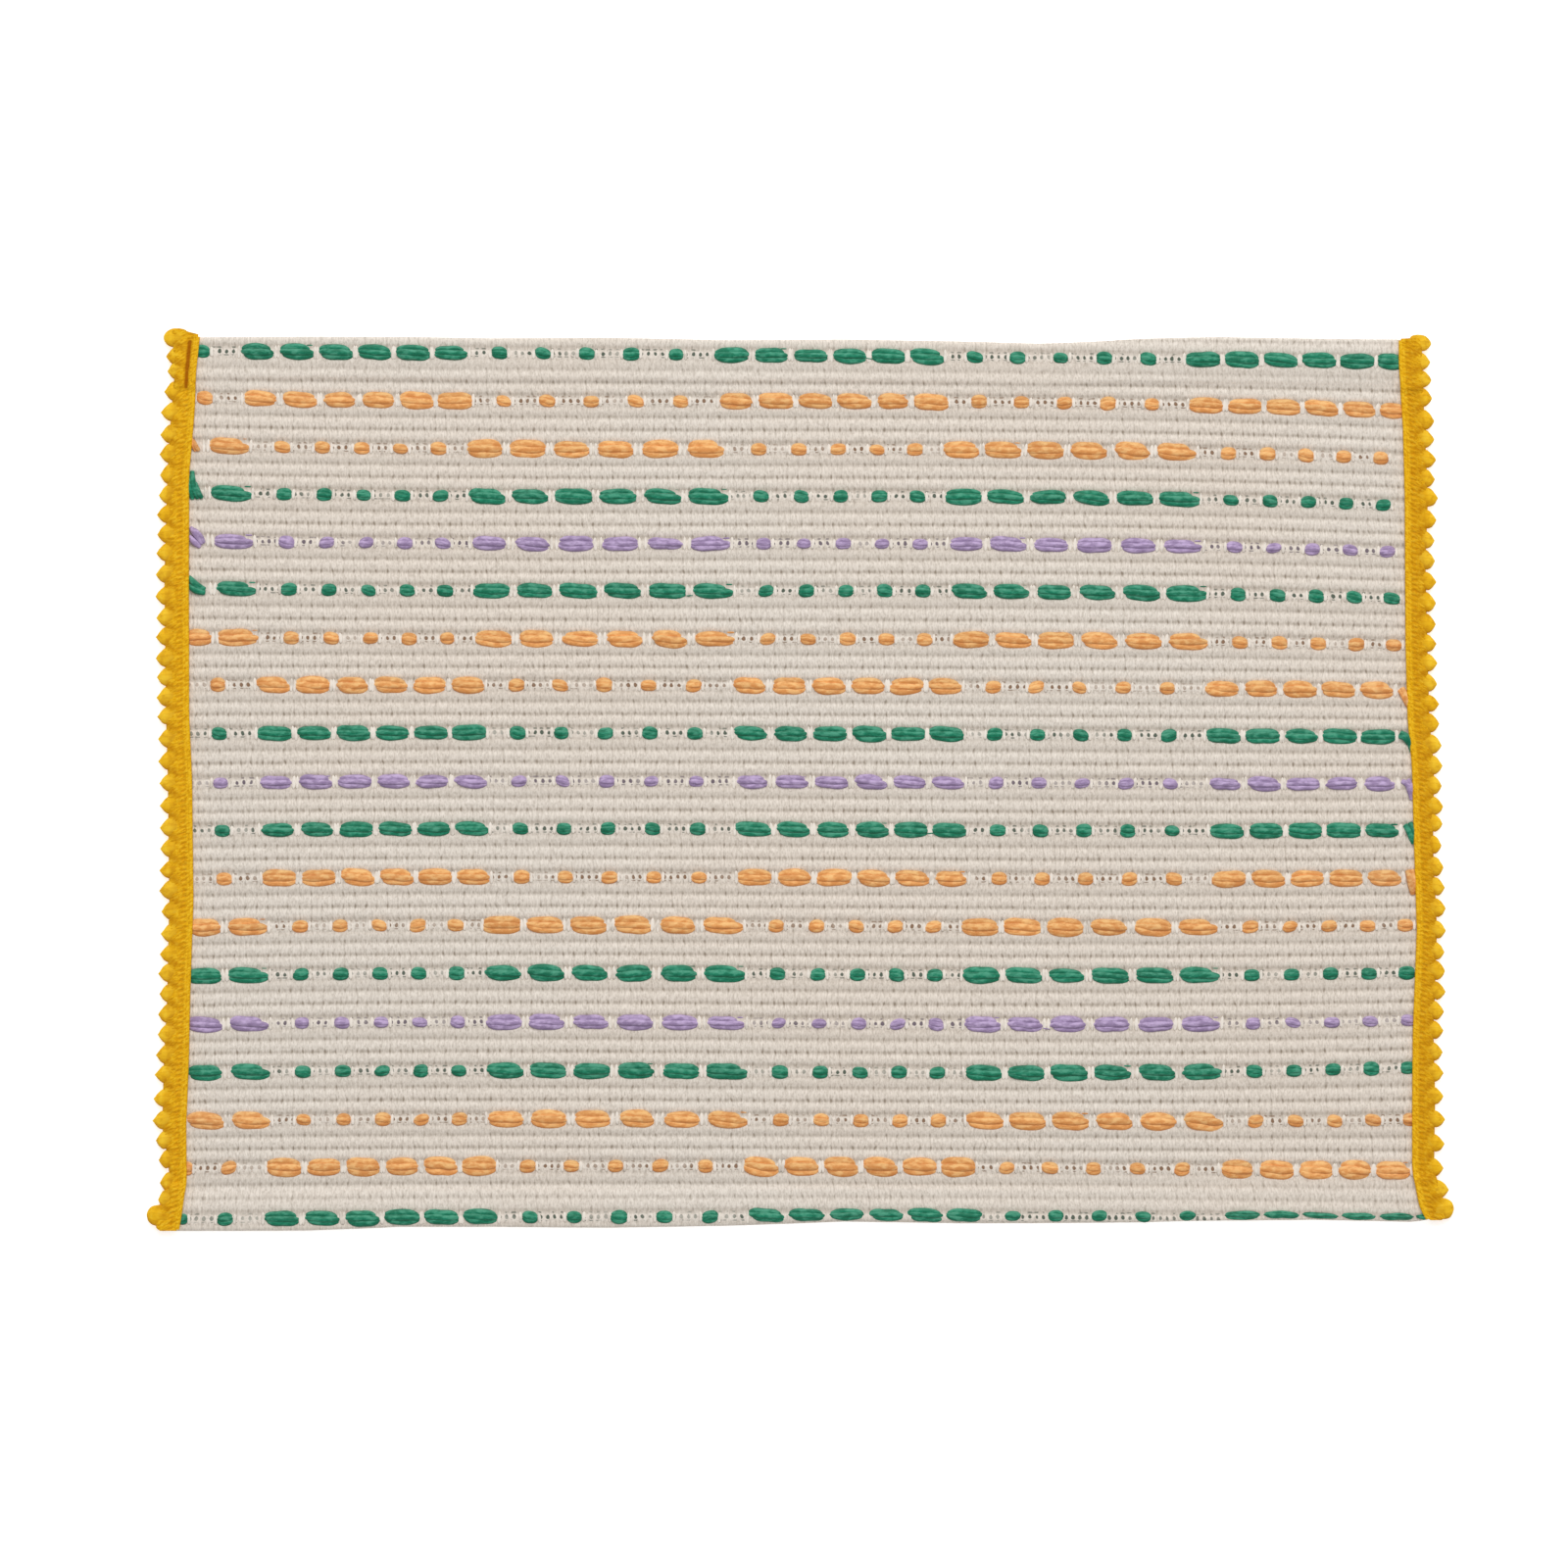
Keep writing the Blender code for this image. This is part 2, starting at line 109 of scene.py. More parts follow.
BRAID_GAP = 0.3
CORD_ROUND = 0.95  # radius of the cord along a braid's inner edge
CORD_SHORT = 0.6  # the cord ends this far inside the tape's ends
DIMPLE_PITCH = 1.97
DIMPLE_PLACE = 3.6  # from the inner edge
DIMPLE_WIDTH = 1.2
DIMPLE_DEPTH = 0.45
SLIT_WIDTH = 0.95
SLIT_DEPTH = 0.7
SLIT_FADE = 1.5
LOOP_SLANT = 0.35  # of the tape's crosswise loops
SLANT_FADE = 3.0  # down the braid, of the slant of its top end
SLANT_WIDTH = 9.0  # across the braid, of the same slant
END_ROUND = 1.5  # of the tape's outer corners
TAPE_SHORT = 3.4  # the tape ends this far inside the bobbles' tips
TAPE_SHOULDER = 1.2  # where the tape's flat part ends, from its outer edge
TAPE_ROUGH = 0.13
BOBBLE_LIFT = 1.1  # of a bobble's root above the braid's seat
BOBBLE_ROOT = 3.9  # from the inner edge
BOBBLE_HALF_WIDTH = 3.9  # along the braid
BOBBLE_HALF_HEIGHT = 1.75
BOBBLE_DROOP = 2.6  # the root of a bobble lies this far up the braid from its tip
BOBBLE_ROUGH = 0.6
TIP_HEIGHT = 2.6  # of a bobble's tip above the table
TAIL_END_LIFT = -0.4  # of a loose end's two ends above the ribs
TAIL_LIFT = 0.4  # of the rest of it

PHOTO_WIDTH = 586.7  # of what the camera takes in
PHOTO_MIDDLE = (-6.14, -1.65)
CAMERA_HEIGHT = 3000.0
FLOOR_HALF = 4000.0
SEED = 7  # of everything that is uneven

# ---------------------------------------------------------------- tables (mm)


def rows_of(kind, rows):
    """A table's rows, with the names of its columns."""
    return [kind(*row) for row in rows]


# Rows of floats, top to bottom: the row's place at mid-width, its yarn, which of the two
# alternating patterns it has, and how wide its long floats are.
Row = namedtuple("Row", "y yarn phase width")
ROWS = rows_of(Row, [
    (158.5, "green", "A", 5.4),
    (141.4, "orange", "A", 6.2),
    (123.5, "orange", "B", 6.9),
    (105.9, "green", "B", 5.4),
    (88.2, "purple", "B", 5.1),
    (70.5, "green", "B", 5.6),
    (52.5, "orange", "B", 6.3),
    (35.0, "orange", "A", 6.5),
    (17.2, "green", "A", 5.3),
    (-0.9, "purple", "A", 4.8),
    (-18.7, "green", "A", 5.3),
    (-36.8, "orange", "A", 6.5),
    (-54.8, "orange", "B", 6.8),
    (-72.8, "green", "B", 5.8),
    (-91.2, "purple", "B", 5.5),
    (-109.4, "green", "B", 5.9),
    (-127.3, "orange", "B", 6.6),
    (-144.7, "orange", "A", 7.4),
    (-163.4, "green", "A", 5.3),
])

# Float k of a group is centred at first + pitch * k + ease * k * k.
Motif = namedtuple("Motif", "phase kind first pitch ease count length")
MOTIFS = rows_of(Motif, [
    ("A", "dash", -196.7, 14.85, -0.07, 6, 12.0),
    ("A", "dot", -283.0, 16.06, 0.09, 5, 5.2),
    ("B", "dash", -290.8, 15.80, 0.12, 6, 13.0),
    ("B", "dot", -189.2, 15.03, -0.13, 5, 5.2),
])

# Along a row the pattern keeps less than perfect time: at this place on the loom it is this
# far to the right.
Drift = namedtuple("Drift", "x shift")
DRIFTS = rows_of(Drift, [
    (-228.0, 0.2), (-118.0, 0.85), (-113.0, -0.35),
    (54.0, 1.45), (61.0, 0.3), (228.0, -1.3),
])

# A yarn's floats are this many times as long as the motif says, its short ones this wide,
# and its long ones this much longer and wider than their row's, by the fluff on them.
Yarn = namedtuple("Yarn", "stretch dot_width fluff color")
YARNS = {
    "green": Yarn(1.0, 5.0, 0.6, (24, 128, 97)),
    "orange": Yarn(0.99, 5.0, 0.35, (234, 163, 96)),
    "purple": Yarn(0.98, 4.4, 0.3, (167, 145, 182)),
}

# How the cloth lies: at height y a float is pushed along its row by
# shift + spread * s + sway * s^2, and a row leaves its height by tilt * s + bow * s^2 +
# twist * s^3, where s is the distance from the middle over HALF_SPAN.
Lie = namedtuple("Lie", "y shift spread sway tilt bow twist")
LIES = rows_of(Lie, [
    (158.5, -7.9, -1.0, 0.4, -1.9, -0.4, 0.0),
    (141.4, -6.2, -1.0, -0.5, -0.3, -1.1, -2.1),
    (106.0, -4.4, -0.7, -0.7, 0.0, -1.0, -2.3),
    (70.5, -2.5, -0.1, -0.1, -0.2, -0.9, -1.6),
    (35.0, -1.2, -0.2, 0.2, -0.8, -0.7, -0.2),
    (-0.9, -0.2, -0.1, 0.3, -1.1, -0.6, 1.0),
    (-36.8, 0.8, 0.1, 0.9, -1.0, -0.2, 1.2),
    (-72.8, 1.8, 0.4, 0.7, -1.5, -0.1, 2.1),
    (-109.4, 2.7, 0.5, 0.6, -1.4, 0.6, 2.2),
    (-144.7, 3.4, 0.9, 0.8, -1.0, -1.1, 0.6),
    (-163.4, 5.4, 2.2, -1.3, -0.1, -1.4, -0.4),
])

# The two turned edges, left to right.
EdgePoint = namedtuple("EdgePoint", "x top bottom")
LONG_EDGES = rows_of(EdgePoint, [
    (-240, 165.1, -168.5), (-185, 165.6, -168.4), (-150, 165.6, -166.9), (-116, 164.9, -166.9),
    (-72, 165.3, -167.2), (-28, 164.2, -166.5), (16, 164.6, -165.2), (60, 163.8, -165.7),
    (89, 162.8, -165.7), (126, 164.6, -165.6), (155, 165.2, -165.0), (192, 164.6, -164.4),
    (229, 164.2, -165.2), (236, 164.1, -164.2),
])

# The two braids, top to bottom: distance from the middle to the inner edge and to the tips.
BraidPoint = namedtuple("BraidPoint", "y inner tip")
BRAIDS = {
    "left": rows_of(BraidPoint, [
        (168.5, 224.0, 238.4), (152.4, 225.7, 237.2), (137.0, 226.4, 238.7),
        (114.0, 228.4, 240.1), (75.0, 228.5, 241.2), (24.0, 228.4, 240.6),
        (0.0, 227.3, 239.9), (-45.0, 226.8, 239.4), (-80.0, 228.0, 240.1),
        (-105.0, 228.5, 241.4), (-130.0, 229.5, 242.0), (-142.0, 229.4, 239.9),
        (-150.0, 229.3, 239.2), (-157.5, 230.4, 240.2), (-162.0, 231.0, 244.3),
        (-168.6, 232.2, 244.2),
    ]),
    "right": rows_of(BraidPoint, [
        (165.2, 223.5, 235.6), (155.3, 223.5, 235.8), (132.0, 225.1, 236.8),
        (105.0, 225.8, 238.0), (81.0, 225.9, 237.1), (50.0, 226.1, 237.8),
        (22.0, 226.9, 238.6), (5.0, 228.5, 240.3), (-25.0, 229.3, 239.9),
        (-56.0, 230.3, 241.4), (-95.0, 228.8, 240.1), (-119.0, 228.6, 240.7),
        (-146.0, 228.6, 240.3), (-155.7, 230.4, 243.4), (-161.5, 231.9, 244.5),
        (-163.4, 232.9, 244.5), (-164.6, 234.4, 244.5),
    ]),
}
SIDES = {"left": -1.0, "right": 1.0}

# Where the bobbles' tips are, counted from the top of each braid.
Tip = namedtuple("Tip", "number y")
TIPS = {
    "left": rows_of(Tip, [
        (0, 165.1), (1, 157.9), (2, 152.7), (4, 137.0), (7, 113.9),
        (12, 76.8), (14, 60.3), (19, 23.3), (24, -18.1), (30, -65.1),
        (36, -110.6), (38, -127.8), (40, -142.1), (41, -150.9), (42, -157.0),
        (43, -163.2),
    ]),
    "right": rows_of(Tip, [
        (0, 163.0), (3, 142.5), (4, 134.0), (8, 105.0), (14, 58.1),
        (18, 28.4), (23, -10.1), (24, -16.7), (29, -56.3), (31, -72.0),
        (34, -94.0), (36, -109.8), (38, -127.1), (40, -145.4), (41, -153.3),
        (42, -160.4),
    ]),
}

# Near its top the left braid has opened along its dimples.
Slit = namedtuple("Slit", "top bottom")
SLIT = Slit(165.6, 145.2)

# A braid's two ends: how far its top slants, how swollen and how drooping its first and its
# last bobble are, and how much the first one tapers to its tip. The last is a round knot.
BraidEnds = namedtuple(
    "BraidEnds", "slant first_swell first_droop first_point last_swell last_droop"
)
BRAID_ENDS = {
    "left": BraidEnds(2.4, 1.0, 0.0, 0.0, 1.1, 0.6),
    "right": BraidEnds(0.5, 0.85, 1.0, 0.15, 1.12, 0.6),
}
POINTED = {"left": 0.75, "right": 0.48}  # how much the other bobbles taper to their tips

# The tape's section, round from its inner lower edge: how far out, from the inner edge or
# from the tape's outer edge, and how high above its seat.
TapePoint = namedtuple("TapePoint", "from_inner from_outer z")
TAPE_SECTION = rows_of(TapePoint, [
    (0.9, None, 0.0), (0.9, None, 1.1), (1.7, None, 1.4), (2.4, None, 1.25),
    (2.9, None, 1.05), (3.4, None, 0.95), (3.9, None, 1.0), (4.4, None, 1.15),
    (5.2, None, 1.3), (6.4, None, 1.35), (None, -0.9, 1.25), (None, -0.2, 0.85),
    (None, 0.0, 0.2), (None, -0.3, -0.6), (None, -1.2, -0.9), (6.0, None, -0.9),
    (5.9, None, 0.0),
])

# Ends of coloured yarn that lie over a braid's inner edge: the radius, and four places from
# the braid to the end in its row.
Tail = namedtuple("Tail", "yarn radius places")
TAILS = rows_of(Tail, [
    ("green", 1.2, [(-227.4, 115.3), (-227.2, 111.5), (-226.6, 108.0), (-225.2, 105.2)]),
    ("green", 1.1, [(-228.4, 113.5), (-228.3, 110.5), (-228.0, 107.5), (-227.2, 105.0)]),
    ("green", 1.1, [(-226.3, 111.0), (-225.6, 108.6), (-224.9, 106.8), (-223.9, 105.4)]),
    ("purple", 1.2, [(-228.0, 94.2), (-226.6, 92.4), (-225.0, 90.4), (-223.9, 88.2)]),
    ("purple", 1.2, [(-228.4, 91.0), (-227.2, 89.4), (-226.0, 88.2), (-224.6, 87.2)]),
    ("purple", 1.0, [(-226.6, 93.6), (-225.0, 91.8), (-223.9, 90.2), (-223.2, 88.6)]),
    ("green", 1.3, [(-228.6, 75.8), (-226.8, 73.6), (-225.0, 72.2), (-222.8, 71.0)]),
    ("green", 1.3, [(-228.6, 72.6), (-226.8, 71.2), (-225.0, 70.4), (-222.8, 69.9)]),
    ("orange", 1.3, [(228.0, 26.2), (227.3, 28.7), (226.1, 31.6), (225.0, 34.2)]),
    ("orange", 1.0, [(226.8, 27.8), (226.2, 29.6), (225.2, 31.6), (224.0, 33.4)]),
    ("green", 1.4, [(228.8, 10.4), (228.1, 13.4), (226.8, 15.9), (224.4, 17.4)]),
    ("green", 1.3, [(227.8, 13.0), (226.9, 14.6), (225.7, 15.9), (224.0, 16.2)]),
    ("purple", 1.2, [(228.6, -7.4), (227.9, -4.2), (227.0, -1.8), (225.0, -0.6)]),
    ("purple", 1.1, [(228.8, -6.4), (228.5, -4.0), (228.1, -1.8), (227.4, 0.0)]),
    ("green", 1.3, [(229.2, -23.8), (228.5, -21.4), (227.5, -19.1), (226.2, -17.0)]),
    ("green", 1.2, [(229.6, -22.4), (229.2, -20.3), (228.8, -18.2), (228.0, -16.2)]),
    ("orange", 1.4, [(229.0, -42.8), (228.5, -39.9), (227.9, -36.9), (227.2, -34.0)]),
    ("orange", 1.2, [(229.9, -41.8), (229.6, -39.2), (229.3, -36.4), (228.8, -33.8)]),
    ("orange", 0.7, [(-227.8, 128.6), (-227.4, 126.6), (-226.9, 124.6), (-226.3, 122.9)]),
    ("orange", 1.0, [(-227.0, 126.8), (-226.5, 125.4), (-225.9, 124.2), (-225.1, 123.2)]),
])

TAPER = np.array([0.7, 1.0, 1.0, 0.8])  # of a loose end along its four places

# ---------------------------------------------------------------- the lie of the cloth


def read(table, column, at, key="y"):
    """A table's column at one or many places, on straight lines between its rows."""
    rows = sorted(table, key=lambda row: getattr(row, key))
    places = [getattr(row, key) for row in rows]
    return np.interp(at, places, [getattr(row, column) for row in rows])


def undone(move, after):
    """Where something was before a small move that has brought it to a known place."""
    before = after
    for _ in range(3):
        before = after - move(before)
    return before


def settled_y(y, x):
    """Where a point of height y ends up, at x, once its row bends."""
    s = x / HALF_SPAN
    tilt, bow, twist = (read(LIES, name, y) for name in ("tilt", "bow", "twist"))
    return y + tilt * s + bow * s**2 + twist * s**3


def bent_back(x, y):
    """The height on the loom of a point that has ended up at (x, y)."""
    return undone(lambda before: settled_y(before, x) - before, y)


def pushed(x, y):
    """How far a point of a row is pushed along it."""
    s = x / HALF_SPAN
    shift, spread, sway = (read(LIES, name, y) for name in ("shift", "spread", "sway"))
    return shift + spread * s + sway * s**2


def unsettled_x(x, y):
    """Where on the loom a point was that has ended up at x."""
    return undone(lambda before: pushed(before, y), x)


def top_edge(x):
    return read(LONG_EDGES, "top", x, "x")


def bottom_edge(x):
    return read(LONG_EDGES, "bottom", x, "x")


def hem_share(x, y):
    """1 over a hem's second layer, 0 clear of it."""
    from_top = HEM_TOP - (top_edge(x) - y)
    from_bottom = HEM_BOTTOM - (y - bottom_edge(x))
    share = np.clip(np.maximum(from_top, from_bottom) / HEM_STEP + 0.5, 0.0, 1.0)
    return share * share * (3 - 2 * share)


def groove_z(x, y):
    """Height of the face at a groove between two ribs."""
    return VALLEY_Z + HEM_RISE * hem_share(x, y)


def rib_count(y):
    """Ribs from the lowest row of floats up to a height, four to a row."""
    heights = [row.y for row in reversed(ROWS)]
    heights = [2 * heights[0] - heights[1], *heights, 2 * heights[-1] - heights[-2]]
    even = RIBS_A_ROW * (np.interp(y, heights, np.arange(len(heights))) - 1)
    row = np.floor(even / RIBS_A_ROW)
    middles = np.arange(len(GROOVES)) + 0.5
    counts = [0, *middles, RIBS_A_ROW]
    within = np.interp(even - RIBS_A_ROW * row, [0, *GROOVES, RIBS_A_ROW], counts)
    return RIBS_A_ROW * row + within


def braid_inner(side, y):
    """x of a braid's inner edge."""
    return SIDES[side] * read(BRAIDS[side], "inner", y)


def braid_width(side, y):
    return read(BRAIDS[side], "tip", y) - read(BRAIDS[side], "inner", y)


def braid_seat(side, y):
    """Height of a braid's underside above the table."""
    x = SIDES[side] * HALF_SPAN
    steps = (-HEM_STEP, 0.0, HEM_STEP)
    share = np.max([hem_share(x, y + step) for step in steps], axis=0)
    return VALLEY_Z + RIB_HEIGHT + HEM_RISE * share + BRAID_GAP


Float = namedtuple("Float", "kind start end notched")


def floats_of(row):
    """The row's floats as woven, before the cloth settles, left to right."""
    found = []
    for motif in (m for m in MOTIFS if m.phase == row.phase):
        for group in range(REPEATS):
            for k in range(motif.count):
                middle = motif.first + REPEAT * group + motif.pitch * k + motif.ease * k * k
                middle += read(DRIFTS, "shift", middle, "x")
                length = motif.length * YARNS[row.yarn].stretch
                notched = motif.phase == "B" and motif.kind == "dash" and k == motif.count - 1
                if notched:
                    length += END_DASH_EXTRA
                ends = (middle - length / 2, middle + length / 2)
                found.append(Float(motif.kind, *ends, notched))
    return sorted(found, key=lambda one: one.start)


# ---------------------------------------------------------------- node trees


def linear(color):
    """A colour of 0 to 255, as seen on a screen, in linear light."""
    shares = [part / 255 for part in color]
    return tuple(s / 12.92 if s <= 0.04045 else ((s + 0.055) / 1.055) ** 2.4 for s in shares)


def named(sockets, key):
    """A node's socket by its place or by the name of the one in use."""
    if isinstance(key, int):
        return sockets[key]
    return next(one for one in sockets if one.name == key and one.enabled)


def add(tree, kind, settings=None, values=None):
    """Adds a node, sets it, joins or fills its inputs, and gives its first output in use."""
    node = tree.nodes.new(kind)
    for name, value in (settings or {}).items():
        setattr(node, name, value)
    for key, value in (values or {}).items():
        socket = named(node.inputs, key)
        if isinstance(value, Wire):
            tree.links.new(value.socket, socket)
        elif socket.type == "VECTOR" and isinstance(value, (int, float)):
            socket.default_value = (value, value, value)
        elif socket.type == "RGBA" and len(value) == 3:
            socket.default_value = (*value, 1.0)
        else:
            socket.default_value = value
    outputs = [one for one in node.outputs if one.enabled]
    return Wire(tree, outputs[0]) if outputs else node


class Wire:
    """An output of a node. Sums and products of wires add the nodes that work them out."""

    def __init__(self, tree, socket):
        self.tree = tree
        self.socket = socket

    def out(self, name):
        """Another output of the same node."""
        return Wire(self.tree, named(self.socket.node.outputs, name))

    def math(self, operation, *others):
        """This wire and others through a Math node, or a Vector Math node for vectors."""
        wires = [one for one in (self, *others) if isinstance(one, Wire)]
        vector = any(one.socket.type == "VECTOR" for one in wires)
        kind = "ShaderNodeVectorMath" if vector else "ShaderNodeMath"
        values = dict(enumerate((self, *others)))
        return add(self.tree, kind, {"operation": operation}, values)

    def swapped(self, operation, number):
        """The same with a plain number in the first place."""
        first = add(self.tree, "ShaderNodeValue")
        first.socket.default_value = number
        return first.math(operation, self)

    def __add__(self, other):
        return self.math("ADD", other)

    def __mul__(self, other):
        return self.math("MULTIPLY", other)

    def __sub__(self, other):
        return self.math("SUBTRACT", other)

    def __truediv__(self, other):
        return self.math("DIVIDE", other)

    def __pow__(self, other):
        return self.math("POWER", other)

    def __rsub__(self, other):
        return self.swapped("SUBTRACT", other)

    def __rtruediv__(self, other):
        return self.swapped("DIVIDE", other)

    def __neg__(self):
        return self * -1

    def __abs__(self):
        return self.math("ABSOLUTE")

    __radd__ = __add__
    __rmul__ = __mul__

    def sin(self):
        return self.math("SINE")

    def cos(self):
        return self.math("COSINE")

    def angle_to(self, other):
        """The angle of the point (other, self) round the origin."""
        return self.math("ARCTAN2", other)

    def smooth(self, low, high):
        """0 below low, 1 above high, with a soft slope between."""
        values = {"Value": self, "From Min": low, "From Max": high}
        return add(self.tree, "ShaderNodeMapRange", {"interpolation_type": "SMOOTHSTEP"}, values)

    def parts(self):
        """The three numbers of a vector."""
        split = add(self.tree, "ShaderNodeSeparateXYZ", values={0: self})
        return split, split.out("Y"), split.out("Z")


def joined(x, y, z):
    """A vector of three wires or numbers, at least one of them a wire."""
    tree = next(one.tree for one in (x, y, z) if isinstance(one, Wire))
    return add(tree, "ShaderNodeCombineXYZ", values={"X": x, "Y": y, "Z": z})


def stretched(spot, scale):
    """A place with its three numbers scaled, to stretch a pattern with."""
    return spot * add(spot.tree, "ShaderNodeCombineXYZ", None, dict(zip("XYZ", scale)))


def blend(factor, first, second, mode="MIX"):
    """Two colours mixed. The factor is a wire or a number."""
    tree = next(one.tree for one in (factor, first, second) if isinstance(one, Wire))
    settings = {"data_type": "RGBA", "blend_type": mode}
    return add(tree, "ShaderNodeMix", settings, {0: factor, "A": first, "B": second})


def layered(color, *layers):
    """A colour with others laid over it. A layer is how much of it shows, and its colour."""
    for share, over in layers:
        color = blend(share, color, over)
    return color


def noise(vector, scale, detail=2.0, roughness=0.5):
    """Soft patches of 0 to 1. In a place in metres, the scale is their number to the metre."""
    values = {"Vector": vector, "Scale": scale, "Detail": detail, "Roughness": roughness}
    return add(vector.tree, "ShaderNodeTexNoise", None, values)


def geometry_tree(name, counts=(), numbers=()):
    """A new Geometry Nodes tree, with its inputs as wires by name."""
    tree = bpy.data.node_groups.new(name, "GeometryNodeTree")
    tree.interface.new_socket("Geometry", in_out="OUTPUT", socket_type="NodeSocketGeometry")
    inputs = {"Geometry": "Geometry", **dict.fromkeys(counts, "Int")}
    inputs |= {**dict.fromkeys(numbers, "Float"), "Material": "Material"}
    for label, kind in inputs.items():
        tree.interface.new_socket(label, in_out="INPUT", socket_type=f"NodeSocket{kind}")
    entry = tree.nodes.new("NodeGroupInput")
    return tree, {one.name: Wire(tree, one) for one in entry.outputs if one.name}


def finish_tree(tree, geometry, material):
    """Ends a tree: smooth faces, real geometry and one material."""
    geometry = add(tree, "GeometryNodeSetShadeSmooth", None, {"Geometry": geometry})
    values = {"Geometry": realized(geometry), "Material": material}
    geometry = add(tree, "GeometryNodeSetMaterial", None, values)
    exit_node = tree.nodes.new("NodeGroupOutput")
    tree.links.new(geometry.socket, exit_node.inputs["Geometry"])


def attribute(tree, name, kind="FLOAT"):
    """A named attribute of the geometry, in a Geometry Nodes tree."""
    return add(tree, "GeometryNodeInputNamedAttribute", {"data_type": kind}, {"Name": name})


def attributes(tree, names):
    """Several named numbers of the geometry."""
    return [attribute(tree, name) for name in names.split()]


def store(geometry, name, value, kind="FLOAT"):
    settings = {"data_type": kind, "domain": "POINT"}
    values = {"Geometry": geometry, "Name": name, "Value": value}
    return add(geometry.tree, "GeometryNodeStoreNamedAttribute", settings, values)


def position(tree):
    return add(tree, "GeometryNodeInputPosition")


def moved(geometry, offset):
    values = {"Geometry": geometry, "Offset": offset}
    return add(geometry.tree, "GeometryNodeSetPosition", None, values)


def repeated(points, shape, **values):
    """The shape on every point."""
    values = {"Points": points, "Instance": shape, **values}
    return add(points.tree, "GeometryNodeInstanceOnPoints", None, values)


def realized(geometry):
    return add(geometry.tree, "GeometryNodeRealizeInstances", None, {"Geometry": geometry})


def ball(tree, given):
    """A ball of radius 1, cut as the tree's inputs say."""
    values = {"Segments": given["Segments"], "Rings": given["Rings"], "Radius": 1.0}
    return add(tree, "GeometryNodeMeshUVSphere", None, values)


def tubes(line, sides, thick):
    """Tubes along curves. Each point keeps its place along the tube and round it."""
    tree = line.tree
    length = add(tree, "GeometryNodeSplineParameter").out("Length")
    values = {"Resolution": sides, "Radius": 1.0}
    profile = add(tree, "GeometryNodeCurvePrimitiveCircle", None, values)
    values = {
        "Curve": store(line, "along", length),
        "Profile Curve": store(profile, "round", position(tree), "FLOAT_VECTOR"),
        "Scale": thick,
        "Fill Caps": True,
    }
    return add(tree, "GeometryNodeCurveToMesh", None, values)


def placed(name, data):
    """A new object in the scene."""
    thing = bpy.data.objects.new(name, data)
    bpy.context.scene.collection.objects.link(thing)
    return thing


def grown(name, source, tree, **inputs):
    """A new object with the plain mesh that a tree makes of a source mesh."""
    piece = placed(name, source)
    maker = piece.modifiers.new("maker", "NODES")
    maker.node_group = tree
    for item in tree.interface.items_tree:
        label = item.name.lower().replace(" ", "_")
        if item.in_out == "INPUT" and label in inputs:
            maker[item.identifier] = inputs[label]
    view = bpy.context.evaluated_depsgraph_get()
    made = bpy.data.meshes.new_from_object(
        piece.evaluated_get(view), preserve_all_data_layers=True, depsgraph=view
    )
    piece.modifiers.clear()
    piece.data = made
    made.name = name
    return piece


def mesh_of(name, places, faces=(), edges=(), **columns):
    """A mesh of points in millimetres, with a number or a vector kept at each point."""
    mesh = bpy.data.meshes.new(name)
    mesh.from_pydata((np.asarray(places, float) * MM).tolist(), edges, faces)
    for label, values in columns.items():
        values = np.asarray(values, np.float32)
        kind, key = ("FLOAT", "value") if values.ndim == 1 else ("FLOAT_VECTOR", "vector")
        kept = mesh.attributes.new(label, kind, "POINT")
        kept.data.foreach_set(key, values.ravel())
    return mesh


def add_uv(mesh, name, pairs):
    """A UV map with one pair of numbers for each point of the mesh."""
    layer = mesh.uv_layers.new(name=name)
    corners = np.zeros(len(mesh.loops), np.int32)
    mesh.loops.foreach_get("vertex_index", corners)
    layer.data.foreach_set("uv", np.asarray(pairs, np.float32)[corners].ravel())


# ---------------------------------------------------------------- materials

COTTON = linear((211, 201, 189))
COTTON_LIGHT = linear((250, 241, 230))
# darker cotton: painted shade in grooves, ticks, seams and under the floats, and the cotton's own
# dark specks
COTTON_DARK = linear((150, 137, 122))
COTTON_WARM = linear((255, 251, 248))
# painted shade inside the eyelets
EYELET_DARK = linear((54, 44, 37))
BRAID_YELLOW = linear((236, 175, 6))
BRAID_LIGHT = linear((255, 213, 62))
# also painted shade between and on the bobbles and in the dimples, beside the yarn's own dark
# strokes
BRAID_DARK = linear((172, 100, 0))
# painted shade inside the slit
SLIT_DARK = linear((160, 86, 2))

WARP_PITCH = 2.05  # mm, from one bundle of warp to the next
SPECK_PITCH = 2.6  # mm, from one eyelet to the next between two floats
PLY_PITCH = 9.0  # mm along a strand, of one turn of its plies
PLIES = 2
# of the bump between plies, and of the painted shade in those grooves
PLY_DEPTH = 0.16
BOBBLE_STRANDS = 8  # round a bobble
COTTON_FIBRES = 2600.0  # in a metre
BRAID_FIBRES = 2400.0
DEEP_BUMP = 0.0003  # metres of relief
FINE_BUMP = 0.0002


def new_material(name, roughness, sheen=0.0, specular=0.3):
    """A material, its shader node and its tree."""
    made = bpy.data.materials.new(name)
    made.use_nodes = True
    tree = made.node_tree
    shader = tree.nodes["Principled BSDF"]
    shader.inputs["Roughness"].default_value = roughness
    shader.inputs["Specular IOR Level"].default_value = specular
    shader.inputs["Sheen Weight"].default_value = sheen
    shader.inputs["Sheen Roughness"].default_value = 0.5
    return made, tree, shader


def kept(tree, name):
    """A named attribute of the piece, in a material."""
    return add(tree, "ShaderNodeAttribute", {"attribute_name": name})


def uv(tree, name):
    along, across, _ = add(tree, "ShaderNodeUVMap", {"uv_map": name}).parts()
    return along, across


def place(tree):
    """The point's own place in the part, in metres."""
    return add(tree, "ShaderNodeTexCoord").out("Object")


